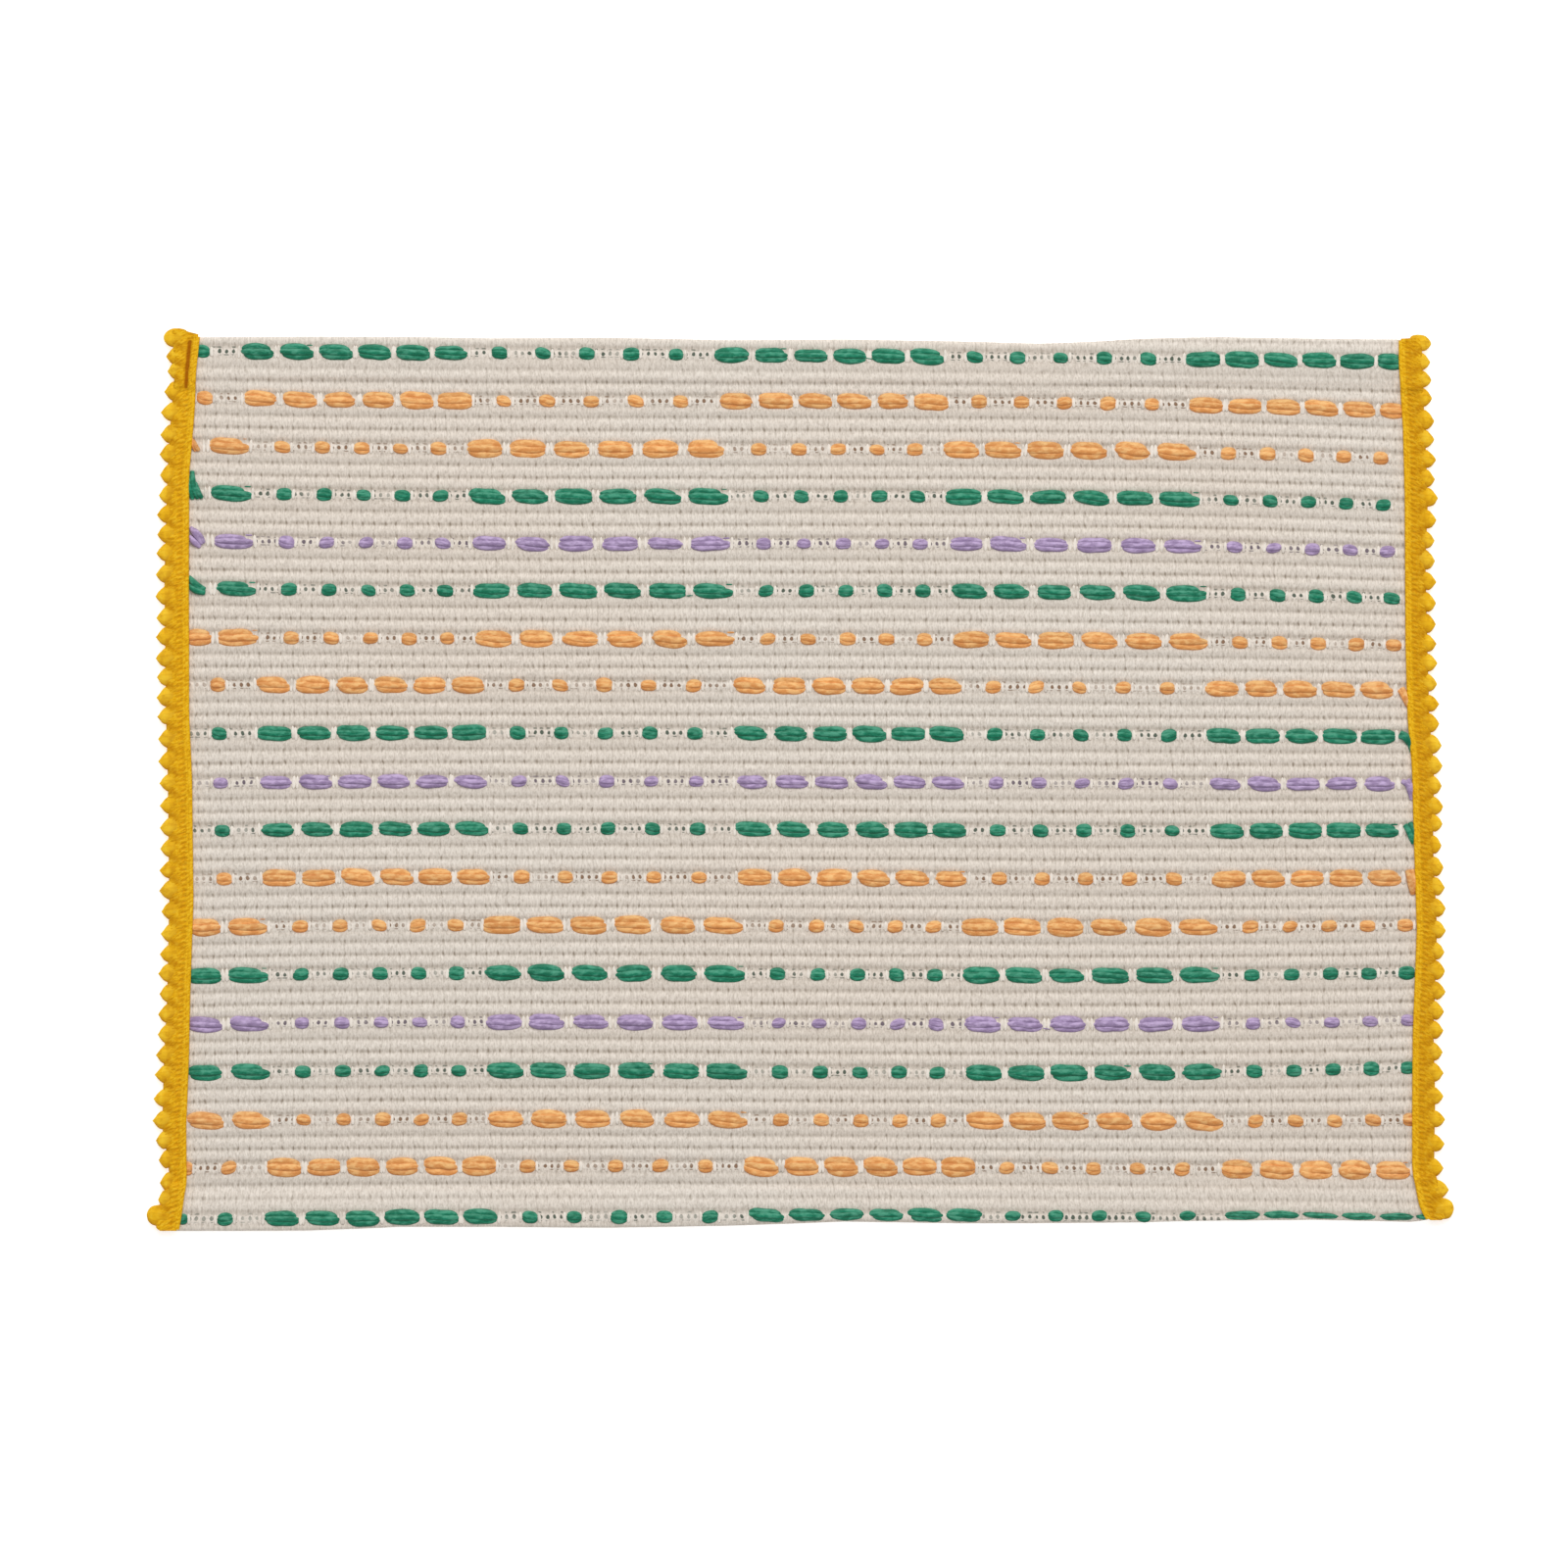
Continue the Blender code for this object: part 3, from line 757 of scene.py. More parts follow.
def colour_and_bump(shader, color, height, distance, strength):
    values = {"Height": height, "Distance": distance, "Strength": strength}
    bump = add(color.tree, "ShaderNodeBump", None, values)
    color.tree.links.new(color.socket, shader.inputs["Base Color"])
    color.tree.links.new(bump.socket, shader.inputs["Normal"])


def eyelets(spot, past, from_row, wander, jitter):
    """Small holes in a row and just beside it, where yarn dives between two floats."""
    between = (past / SPECK_PITCH - 0.45 + wander * 0.5 + jitter * 0.3) * math.pi
    sideways = abs(between.sin())
    uneven = noise(spot, 520.0, 1.0)
    size = (uneven - 0.5) * 2.0
    away = (sideways / 0.7) ** 2 + (from_row / 0.15) ** 2
    in_row = 1 - away.smooth(size + 0.5, size + 1.3)
    beside = from_row.smooth(0.2, 0.25) * (1 - from_row.smooth(0.29, 0.34))
    beside = beside * (1 - sideways.smooth(size + 0.3, size + 0.9)) * uneven.smooth(0.44, 0.56)
    return in_row + beside * 0.7


def cotton_cloth():
    """Unbleached cotton, close warp over thick weft, with eyelets where yarn dives."""
    made, tree, shader = new_material("natural_cotton", 0.95, sheen=0.1)
    along, ribs = uv(tree, "weave")
    past, ahead = uv(tree, "gaps")
    yarn_tint = kept(tree, "tint").out("Color")
    under = kept(tree, "under").out("Fac")
    hem = kept(tree, "hem").out("Fac")
    face = 1 - under
    spot = place(tree)

    # the warp's bundles, the valleys between the ribs, and the ticks where they cross; the valleys,
    # the ticks and the seams between bundles carry painted shade
    wander = noise(spot, 90.0) - 0.5
    jitter = noise(joined(along * 0.22, ribs * 1.1, under), 1.0, 2.0) - 0.5
    warp = along / WARP_PITCH + wander * 0.7 + jitter
    bundle = abs((warp * math.pi).sin())
    paired = (warp * math.pi).cos() * 0.5 + 0.5
    valley = 0.5 - (ribs * TURN).cos() * 0.5
    patches = noise(joined(along * 0.6, ribs * 1.3, under), 1.0, 2.0).smooth(0.35, 0.65)
    seam = (1 - bundle.smooth(0.1, 0.8)) * (paired * 0.7 + 0.4)
    ticks = valley**4 * seam * (patches * 0.6 + 0.4)
    grain = noise(joined(along * 1.5, ribs * 2.0, under), 1.0, 3.0, 0.65)
    grit = noise(stretched(spot, (1.3, 0.7, 1.0)), 1100.0, 3.0, 0.6)
    fibres = noise(spot, COTTON_FIBRES, 4.0, 0.7)

    # the gaps between floats, their eyelets with painted shade in them, the painted shadow of the
    # floats on the rib below a row, and a darker band just above a row
    from_row = abs((ribs * (math.pi / RIBS_A_ROW)).sin())
    above_row = (ribs * (TURN / RIBS_A_ROW)).sin()
    gap = past.smooth(0.2, 0.8) * ahead.smooth(1.1, 1.7) * (past + ahead).smooth(4.0, 5.5)
    depth = noise(spot, 70.0, 1.0).smooth(0.36, 0.54) * 0.45 + 0.45
    eyelet = eyelets(spot, past, from_row, wander, jitter) * gap * face * depth
    bare = gap * (1 - from_row.smooth(0.25, 0.45)) * face
    # how much painted shade the grooves and ticks get: least near a row, more just above it, less
    # over a hem
    clear = from_row.smooth(0.3, 0.8) * 0.5 + 0.3 - from_row.smooth(0.8, 1.0) * 0.1
    clear = (clear + above_row.smooth(0.3, 0.8) * 0.3) * (1 - hem * 0.5)
    shaded = ((ribs + 1) * (TURN / RIBS_A_ROW)).cos().smooth(0.2, 1.0)
    shoulder = from_row.smooth(0.1, 0.25) * (1 - from_row.smooth(0.35, 0.6))
    shoulder = shoulder * above_row.smooth(0.1, 0.4)

    color = layered(
        blend(grain.smooth(0.3, 0.7) * 0.64 + 0.16, COTTON, COTTON_LIGHT),
        (bare * 0.25, COTTON_LIGHT),
        # painted shade in the grooves between ribs and at the ticks in them
        (valley**4 * clear * (patches * 0.3 + 0.3), COTTON_DARK),
        (ticks * clear * 1.15, COTTON_DARK),
        # painted shadow of the floats on the rib below each row
        (shaded * face * 0.16, COTTON_DARK),
        (shoulder * face * 0.3, COTTON_DARK),
        ((1 - grit.smooth(0.34, 0.52)) * 0.28, COTTON_DARK),
        # painted shade in the seams between warp bundles
        (seam * patches * 0.2, COTTON_DARK),
    )
    warmth = noise(spot, 7.0, 1.0).smooth(0.35, 0.65) * 0.5
    color = blend(warmth, color, COTTON_WARM, "MULTIPLY")
    behind = under * gap * (1 - from_row.smooth(0.3, 0.42))
    # painted shade inside the eyelets, tinted by the coloured yarn behind them; the underside shows
    # that yarn's own colour
    color = layered(color, (eyelet, blend(0.22, EYELET_DARK, yarn_tint)), (behind, yarn_tint))
    height = bundle * 0.1 + fibres * 0.4 + grain * 0.5 - eyelet * 1.3 - ticks * 0.6
    colour_and_bump(shader, color, height, DEEP_BUMP, 0.7)
    return made


def binding_warp():
    """The same cotton where a bundle of warp crosses a row."""
    made, tree, shader = new_material("natural_cotton_warp", 0.95, sheen=0.1)
    spot = place(tree)
    fibres = noise(stretched(spot, (3.0, 0.6, 1.0)), 1400.0, 4.0, 0.6)
    color = layered(
        blend(noise(spot, 300.0).smooth(0.25, 0.6) * 0.8, COTTON, COTTON_LIGHT),
        (fibres.smooth(0.5, 0.8) * 0.25, COTTON_DARK),
    )
    colour_and_bump(shader, color, fibres, FINE_BUMP, 0.6)
    return made


def plied_yarn(name, color):
    """Soft plied yarn. Its plies wind round the strand that the piece's attributes describe."""
    made, tree, shader = new_material(name, 0.9, sheen=0.15, specular=0.2)
    across_x, across_y, _ = kept(tree, "round").out("Vector").parts()
    length = kept(tree, "along").out("Fac")
    tone = kept(tree, "tone").out("Fac")
    _, upwards, facing = add(tree, "ShaderNodeTexCoord").out("Normal").parts()
    spot = place(tree)
    uneven = noise(spot, 420.0, 3.0)
    turn = across_y.angle_to(across_x) * PLIES + length * (TURN / (PLY_PITCH * MM))
    ply = abs(((turn + uneven * 3.0) * 0.5).sin())
    fibres = noise(spot, COTTON_FIBRES, 4.0, 0.7)
    mottle = noise(stretched(spot, (0.5, 1.0, 1.0)), 620.0, 2.0, 0.6)

    base = linear(color)
    dull, full = (tuple(part * by for part in base) for by in (0.82, 1.12))
    # darker and lighter copies of the yarn, for its painted shade and highlight as well as its own
    # mottle and fibres
    dark = tuple(0.8 * part**1.35 for part in base)
    light = tuple(min(part * 1.5 + 0.12, 1.0) for part in base)
    shade = layered(
        blend(tone, dull, full),
        # painted highlight on the sides that face up and towards +Y, where the light falls
        ((facing * 0.5 + upwards).smooth(0.35, 1.0) * 0.4, light),
        ((1 - mottle.smooth(0.36, 0.54)) * 0.5, dark),
        (mottle.smooth(0.48, 0.64) * 0.4, light),
        # painted shade on the sides that face towards -Y, away from the light, and in the grooves
        # between plies
        ((-upwards).smooth(0.3, 0.95) * 0.6, dark),
        ((1 - ply.smooth(0.0, 0.5)) * PLY_DEPTH, dark),
        (fibres.smooth(0.5, 0.75) * 0.3, light),
    )
    colour_and_bump(shader, shade, ply * PLY_DEPTH + fibres * 0.8, FINE_BUMP, 0.8)
    return made


def braid_yarn():
    """Yellow yarn of the braid's tape, with its crosswise loops and its column of dimples."""
    made, tree, shader = new_material("yellow_braid", 0.8, specular=0.08)
    out, down = uv(tree, "tape")
    slit = kept(tree, "slit").out("Fac")
    # 1 between two bobbles, where painted shade lies on the tape
    apart = 0.5 - (kept(tree, "beat").out("Fac") * TURN).cos() * 0.5
    spot = place(tree)
    x, y, z = spot.parts()
    wander = noise(spot, 250.0) - 0.5
    loop_count = (down + out * LOOP_SLANT) / DIMPLE_PITCH
    loops = abs(((loop_count + wander * 0.25) * math.pi).cos())
    column = (1 - abs(out - DIMPLE_PLACE).smooth(0.5, 1.7)) * (1 - slit)
    middle = out.smooth(1.6, 3.0) * (1 - out.smooth(5.5, 8.0))
    fibres = noise(spot, BRAID_FIBRES, 4.0, 0.7)
    strokes = noise(joined(abs(x) * 0.45, y + abs(x) * 0.5, z), 1300.0, 2.0, 0.6)
    pit = column * (1 - loops.smooth(0.15, 0.75)) * strokes.smooth(0.4, 0.6)
    color = layered(
        blend(fibres.smooth(0.35, 0.75) * 0.5, BRAID_YELLOW, BRAID_LIGHT),
        (strokes.smooth(0.5, 0.68) * 0.5, BRAID_LIGHT),
        ((1 - strokes.smooth(0.34, 0.52)) * 0.45, BRAID_DARK),
        (middle * (x.smooth(0.0, 0.1) * 0.16 + 0.08), BRAID_DARK),
        # painted shade on the tape between the bobbles and in the pits of the dimple column
        (apart**2 * out.smooth(3.0, 7.0) * 0.5, BRAID_DARK),
        (pit * 0.5, BRAID_DARK),
        # painted shade inside the open slit
        ((slit + wander * 0.6).smooth(0.3, 0.9) * 0.9, SLIT_DARK),
    )
    height = loops * (column * 0.2 + 0.08) + fibres * 0.7 + strokes * 0.8 - pit * 0.3
    colour_and_bump(shader, color, height, DEEP_BUMP, 0.8)
    return made


def bobble_yarn():
    """The same yellow yarn, wound into a bobble."""
    made, tree, shader = new_material("yellow_braid_bobble", 0.8, specular=0.08)
    side, lift, axis = kept(tree, "local").out("Vector").parts()
    tone = kept(tree, "tone").out("Fac")
    turn = lift.angle_to(side) * BOBBLE_STRANDS + axis * 2.2
    spot = place(tree)
    uneven = noise(spot, 380.0, 3.0)
    strand = abs(((turn + uneven * 2.5) * 0.5).sin())
    fibres = noise(spot, BRAID_FIBRES, 4.0, 0.7)
    color = layered(
        blend(tone * 0.35 + 0.2, BRAID_YELLOW, BRAID_LIGHT),
        (uneven.smooth(0.5, 0.7) * 0.5, BRAID_LIGHT),
        ((1 - uneven.smooth(0.35, 0.5)) * 0.3, BRAID_DARK),
        # painted shade in the grooves between wound strands, on each bobble's lower side away from
        # the light, and towards its root against the tape
        ((1 - strand.smooth(0.0, 0.5)) * 0.15, BRAID_DARK),
        ((-side).smooth(0.2, 0.9) * 0.5, BRAID_DARK),
        ((-axis).smooth(-0.4, 0.6) * 0.35, BRAID_DARK),
    )
    colour_and_bump(shader, color, strand * 0.3 + fibres * 0.6, FINE_BUMP, 0.7)
    return made


# ---------------------------------------------------------------- the cloth

Skin = namedtuple("Skin", "x y z weave_y relief under")


def column_places(y_at):
    """x of every column where a line runs, from one cut end of the cloth to the other."""
    share = np.linspace(0, 1, COLUMNS + 1)
    x = (share - 0.5) * 2 * HALF_SPAN
    for _ in range(3):
        y = y_at(x)
        low = np.maximum(braid_inner("left", y) - CLOTH_UNDER, CLOTH_ENDS[0])
        high = np.minimum(braid_inner("right", y) + CLOTH_UNDER, CLOTH_ENDS[1])
        x = low + (high - low) * share
    return x


def row_line(height):
    """x, y and loom height of a line that keeps to a row's bend."""
    x = column_places(lambda x: settled_y(height + 0 * x, x))
    return x, settled_y(height + 0 * x, x), height + 0 * x


def easing_line(height, share, limit):
    """The same of a line that eases over from a row's bend to an edge, by a share of the way."""

    def y_at(x):
        return (1 - share) * settled_y(height + 0 * x, x) + share * limit(x)

    x = column_places(y_at)
    return x, y_at(x), bent_back(x, y_at(x))


def face_lines(lines_a_row, inset):
    """Lines across the face, from the bottom edge to the top, and how far from an edge."""
    heights = [row.y for row in reversed(ROWS)]
    lines = []
    for k in range(lines_a_row):
        share = 1 - k / lines_a_row
        lines.append(easing_line(heights[1], share, lambda x: bottom_edge(x) + inset))
    for low, high in zip(heights[1:-1], heights[2:]):
        lines += [row_line(low + (high - low) * k / lines_a_row) for k in range(lines_a_row)]
    last = max(2, round(lines_a_row * LAST_ROW_SHARE))
    for k in range(last + 1):
        lines.append(easing_line(heights[-1], k / last, lambda x: top_edge(x) - inset))
    return lines


def fold_lines(edge, way, from_top):
    """The turned edge, a half round from the face down to the flap or back up."""
    middle = VALLEY_Z + HEM_RISE - FOLD_ROUND
    lines = []
    angles = np.linspace(0, math.pi, FOLD_LINES + 2)[1:-1]
    for angle in angles if from_top else reversed(angles):
        x = column_places(edge)
        y = edge(x) - way * FOLD_ROUND * (1 - math.sin(angle))
        z = middle + FOLD_ROUND * math.cos(angle) + 0 * x
        weave_y = bent_back(x, edge(x) - way * FOLD_ROUND) + way * FOLD_ROUND * angle
        lines.append(Skin(x, y, z, weave_y, 1.0, 0.0))
    return lines


def flap_lines(edge, way, depth, inwards, z, relief):
    """The turned layer's lower or upper side, from the fold inwards or back."""
    reach = np.linspace(FOLD_ROUND, depth - HEM_SHORT, FLAP_LINES)
    lines = []
    for inside in reach if inwards else reversed(reach):
        x = column_places(edge)
        y = edge(x) - way * inside
        beyond = way * (FOLD_ROUND * (math.pi - 1) + inside)
        weave_y = bent_back(x, edge(x) - way * FOLD_ROUND) + beyond
        lines.append(Skin(x, y, z + 0 * x, weave_y, relief, 0.0))
    return lines


def cloth_skins():
    """The sheet's section, all the way round, as lines that run the length of the mat."""
    flap_top = UNDER_Z + FLAP_THICK
    bottom = (bottom_edge, -1, HEM_BOTTOM)
    top = (top_edge, 1, HEM_TOP)
    skins = flap_lines(*bottom, False, UNDER_Z, UNDER_RELIEF)
    skins += fold_lines(bottom_edge, -1, False)
    for x, y, weave_y in face_lines(LINES_A_ROW, FOLD_ROUND):
        skins.append(Skin(x, y, groove_z(x, y), weave_y, 1.0, 0.0))
    skins += fold_lines(top_edge, 1, True)
    skins += flap_lines(*top, True, UNDER_Z, UNDER_RELIEF)
    skins += flap_lines(*top, False, flap_top, 0.0)
    for x, y, weave_y in reversed(face_lines(UNDER_LINES_A_ROW, FOLD_ROUND * 1.3)):
        share = hem_share(x, y)
        z = UNDER_Z + (flap_top + LAYER_GAP - UNDER_Z) * share
        skins.append(Skin(x, y, z, weave_y, UNDER_RELIEF * (1 - share), 1.0))
    skins += flap_lines(*bottom, True, flap_top, 0.0)
    return skins


def gaps_at(x, weave_y):
    """Distance on from the last float's tip and on to the next one's, along the loom."""
    past = np.zeros_like(x)
    ahead = np.zeros_like(x)
    nearest = np.abs(weave_y[:, None] - np.array([row.y for row in ROWS])).argmin(axis=1)
    for number, row in enumerate(ROWS):
        floats = floats_of(row)
        here = nearest == number
        middles = np.array([(one.start + one.end) / 2 for one in floats])
        after = np.clip(np.searchsorted(middles, x[here]), 1, len(floats) - 1)
        past[here] = x[here] - np.array([one.end for one in floats])[after - 1]
        ahead[here] = np.array([one.start for one in floats])[after] - x[here]
    return past, ahead, nearest


def rib_tree():
    """Raises the ribs of a smooth sheet along its normals."""
    tree, given = geometry_tree("ribs", numbers=("Rib height", "Row dip", "Unevenness"))
    ribs, relief = attributes(tree, "ribs relief")
    rib = (ribs * TURN).cos() * 0.5 + 0.5
    row = (ribs * (TURN / RIBS_A_ROW)).cos().smooth(0.2, 0.95)
    uneven = (noise(position(tree), 110.0, 2.0) - 0.5) * given["Unevenness"]
    height = given["Rib height"] * rib * (uneven + 1) - given["Row dip"] * row
    offset = add(tree, "GeometryNodeInputNormal") * (height * relief)
    finish_tree(tree, moved(given["Geometry"], offset), given["Material"])
    return tree


def skin_faces(y, z, lines):
    """Faces round the closed section, and one cut end of the sheet at each side."""
    across = COLUMNS + 1
    faces = []
    for j in range(lines):
        here, after = j * across, (j + 1) % lines * across
        faces += [(here + i, here + i + 1, after + i + 1, after + i) for i in range(COLUMNS)]
    for i in (0, COLUMNS):
        loop = [Vector((y[j * across + i], z[j * across + i], 0.0)) for j in range(lines)]
        for corners in tessellate_polygon([loop]):
            faces.append(tuple(j * across + i for j in corners))
    return faces


def make_cloth(material):
    """The whole sheet, hems and all, as one closed skin."""
    skins = cloth_skins()
    x, y, z, weave_y, relief, under = (
        np.concatenate([getattr(skin, field) + 0 * skin.x for skin in skins])
        for field in Skin._fields
    )
    hem = hem_share(x, y)
    relief = relief * (1 - HEM_RELIEF_LOSS * hem)
    ribs = rib_count(weave_y)
    weave_x = unsettled_x(x, weave_y)
    past, ahead, nearest = gaps_at(weave_x, weave_y)
    tint = np.array([linear(YARNS[row.yarn].color) for row in ROWS])[nearest]
    columns = {"ribs": ribs, "relief": relief, "under": under, "hem": hem, "tint": tint}
    faces = skin_faces(y, z, len(skins))
    smooth = mesh_of("cloth", np.stack([x, y, z], axis=1), faces, **columns)
    add_uv(smooth, "weave", np.stack([weave_x, ribs], axis=1))
    add_uv(smooth, "gaps", np.stack([past, ahead], axis=1))
    smooth.shade_smooth()
    return grown(
        "woven_cloth",
        smooth,
        rib_tree(),
        rib_height=RIB_HEIGHT * MM,
        row_dip=ROW_DIP * MM,
        unevenness=0.5,
        material=material,
    )


# ---------------------------------------------------------------- floats and their warp

WAVE_TURN = 3.6  # radians of a strand's wave, from its middle to a tip
ARCH = 3.6  # how flat a strand runs before it dives
TIP_TAPER = 0.6  # of a strand's thickness


def strand_tree():
    """One soft strand on each point, as long, wide, high and thick as its attributes say."""
    tree, given = geometry_tree("strands", ("Points along", "Sides"), ("Lowest",))
    values = {"Start": (-1.0, 0.0, 0.0), "End": (1.0, 0.0, 0.0)}
    line = add(tree, "GeometryNodeCurvePrimitiveLine", None, values)
    values = {"Curve": line, "Count": given["Points along"]}
    line = add(tree, "GeometryNodeResampleCurve", None, values)
    along, _, _ = position(tree).parts()
    line = store(line, "step", along)
    strands = realized(repeated(given["Geometry"], line))
    t, reach, lean, thick = attributes(tree, "step reach lean thick")
    spread, depth, rise, wave = attributes(tree, "spread depth rise wave")
    start_turn, turn, phase = attributes(tree, "start_turn turn phase")
    pinch, bluntness = attributes(tree, "pinch bluntness")
    to_tip = abs(t)
    gathered = 1 - pinch * to_tip**bluntness
    angle = start_turn + turn * t
    beat = t * WAVE_TURN + phase
    y = (spread * angle.cos() + wave * beat.sin() * (1 - to_tip)) * gathered
    bundle = (depth + spread * angle.sin() * 0.5) * gathered
    z = rise * (1 - to_tip**ARCH) + bundle + wave * beat.cos() * (1 - to_tip) * 0.7
    strands = moved(strands, joined(t * reach - t, t * reach * lean + y, z))
    strands = tubes(strands, given["Sides"], thick * (1 - TIP_TAPER * to_tip**4.0))
    _, _, height = position(tree).parts()
    lift = (given["Lowest"] - height).math("MAXIMUM", 0.0)
    finish_tree(tree, moved(strands, joined(0.0, 0.0, lift)), given["Material"])
    return tree


LENGTHS = "reach spread depth rise wave thick"  # of a strand, in mm
SHARES = "lean pinch bluntness turn start_turn phase tone"  # the rest of its numbers
StrandPoint = namedtuple("StrandPoint", f"x y z {LENGTHS} {SHARES}", defaults=[0.0] * 13)

# How long and short floats are laid: how much their lengths and slants differ, how much of
# a strand's length shows, the crest above the ribs, how late a bundle narrows to its tips,
# how far apart its strands are, in their radii, and the least and most that they wave.
Lay = namedtuple("Lay", "length_spread slant_spread shown crest bluntness apart wave")
LAYS = {
    "dash": Lay(0.45, 0.03, 0.95, 1.25, 4.0, 1.2, (0.08, 0.28)),
    "dot": Lay(0.25, 0.1, 0.9, 0.85, 2.2, 1.05, (0.03, 0.12)),
}
DOT_FLUFF = 0.1
COMMON_LEAN = -0.03  # of every float against its row
DASH_SLIP = (-0.1, 0.6)  # of the outer strands, along the float
DASH_PINCH = (0.62, 0.8)  # how far a bundle narrows at its tips
DOT_PINCH = 0.88
NOTCH = 0.16  # share of its length by which a notched float's upper strand is short
LOOSE_NOTCH = (0.06, 0.13)
HAIR = {"reach": 1.5, "rise": 0.45, "thick": 0.38}  # left standing where a strand is short
HAIR_IN = 0.55  # from the float's upper side
HAIR_DOWN = 0.85  # from the height of the ribs


FOLD_CLEAR = 0.4  # a float this far inside the bottom edge stays as it is
FOLD_INSET = 0.35
NARROWEST = 1.7


def on_the_fold(x, y, width):
    """A float near the bottom fold, moved so that it wraps over it: height, width, drop."""
    edge = bottom_edge(x)
    shown = y + width / 2 - edge
    if shown > width + FOLD_CLEAR:
        return y, width, 0.0
    width = min(max(shown - 0.1, NARROWEST), width)
    y = edge + FOLD_INSET + width / 2
    inside = min((y - edge) / FOLD_ROUND, 1.0)
    return y, width, FOLD_ROUND * (1 - math.sqrt(1 - (1 - inside) ** 2))


def under_a_tail(x, y):
    """Whether a loose end of yarn takes the place of a float here."""
    ends = [tail.places[-1] for tail in TAILS]
    return any(abs(x - end[0]) < TAIL_REACH and abs(y - end[1]) < TAIL_REACH for end in ends)


def bundle_of(one, row, rng):
    """The strands of one float, or none where a braid or a tail hides it."""
    yarn = YARNS[row.yarn]
    dash = one.kind == "dash"
    lay = LAYS[one.kind]
    grow = rng.normal(yarn.fluff if dash else DOT_FLUFF, lay.length_spread)
    start = one.start + pushed(one.start, row.y)
    end = one.end + pushed(one.end, row.y)
    start = max(start - grow / 2, braid_inner("left", row.y) - SHORTEST)
    end = min(end + grow / 2, braid_inner("right", row.y) + SHORTEST)
    x = (start + end) / 2
    if end - start < 2 * SHORTEST or under_a_tail(x, row.y):
        return []
    y = settled_y(row.y, x)
    slope = (settled_y(row.y, x + 5) - settled_y(row.y, x - 5)) / 10
    lean = slope + COMMON_LEAN + rng.normal(0, lay.slant_spread)
    width = (row.width + yarn.fluff if dash else yarn.dot_width) + rng.normal(0, 0.3)
    y, width, drop = on_the_fold(x, y, width)
    if drop and abs(x) > HALF_SPAN - 4:
        return []
    crest = lay.crest * (0.5 if drop else 1.0)
    thick = width / (lay.apart * STRANDS + 2 - lay.apart)
    turn, start_turn = rng.normal(0.3, 0.25), rng.normal(0.0, 0.12)
    slip = rng.uniform(*DASH_SLIP) if dash else 0.0
    bed = groove_z(x, y) - drop
    top = bed + RIB_HEIGHT + crest
    found = []
    for k in range(STRANDS):
        side = (2 * k + 1 - STRANDS) / (STRANDS - 1)
        strand = StrandPoint(
            x=x - slip * side,
            y=y,
            z=bed - TIP_DEPTH,
            reach=(end - start) / 2 / lay.shown - slip * abs(side) * 0.8,
            spread=side * (width / 2 - thick) + rng.normal(0, 0.1),
            depth=-0.6 * side * side + rng.normal(0, 0.08),
            rise=top - thick - bed + TIP_DEPTH,
            wave=rng.uniform(*lay.wave),
            lean=lean,
            pinch=rng.uniform(*DASH_PINCH) if dash else DOT_PINCH,
            bluntness=lay.bluntness,
            turn=turn,
            start_turn=start_turn,
            phase=rng.uniform(0, TURN),
            thick=thick * rng.uniform(0.92, 1.08),
            tone=rng.uniform(0, 1),
        )
        found.append(strand)
    loose = dash and rng.uniform() < LOOSE_SHARE
    if (one.notched or loose) and drop == 0:
        upper = found.pop()
        short = upper.reach * (NOTCH if one.notched else rng.uniform(*LOOSE_NOTCH))
        cut = {"x": x - short, "reach": upper.reach - short}
        found.append(upper._replace(**cut, turn=0.0, start_turn=0.0))
        hair_y, hair_z = y + width / 2 - HAIR_IN, top - crest - HAIR_DOWN
        hair = {"x": end - HAIR["reach"], "y": hair_y, "z": hair_z, **HAIR}
        found.append(upper._replace(**hair, spread=0.0, wave=0.0, tone=0.0))
    return found


def sliver(x, row, rng):
    """A thin strand that shows low in the gap between two long floats."""
    y = settled_y(row.y, x) + rng.choice([-1.0, 1.0]) * rng.uniform(0.9, 1.9)
    return StrandPoint(
        x=x,
        y=y,
        z=groove_z(x, y) + 0.15,
        reach=rng.uniform(1.2, 1.7),
        rise=0.35,
        wave=0.05,
        lean=rng.normal(0, 0.15),
        bluntness=LAYS["dash"].bluntness,
        thick=rng.uniform(0.18, 0.3),
        tone=0.2,
    )


def strands_of(row, rng):
    """The strands of every float of a row that shows between the braids."""
    found = []
    floats = floats_of(row)
    for one, after in zip(floats, floats[1:] + floats[-1:]):
        found += bundle_of(one, row, rng)
        x = (one.end + after.start) / 2
        x += pushed(x, row.y)
        both_long = one.kind == after.kind == "dash" and after is not one
        between = abs(x) < HALF_SPAN and settled_y(row.y, x) > bottom_edge(x) + 3.0
        if both_long and between and rng.uniform() < SLIVER_SHARE:
            found.append(sliver(x, row, rng))
    return found


def make_floats(yarn, material, tree, rng):
    """All floats of one yarn."""
    strands = [one for row in ROWS if row.yarn == yarn for one in strands_of(row, rng)]
    columns = {}
    for names, scale in ((LENGTHS, MM), (SHARES, 1.0)):
        for name in names.split():
            columns[name] = [getattr(one, name) * scale for one in strands]
    places = [(one.x, one.y, one.z) for one in strands]
    source = mesh_of(f"{yarn}_strands", places, **columns)
    values = {"points_along": 11, "sides": 8, "lowest": STRAND_LOWEST * MM}
    return grown(f"{yarn}_floats", source, tree, material=material, **values)


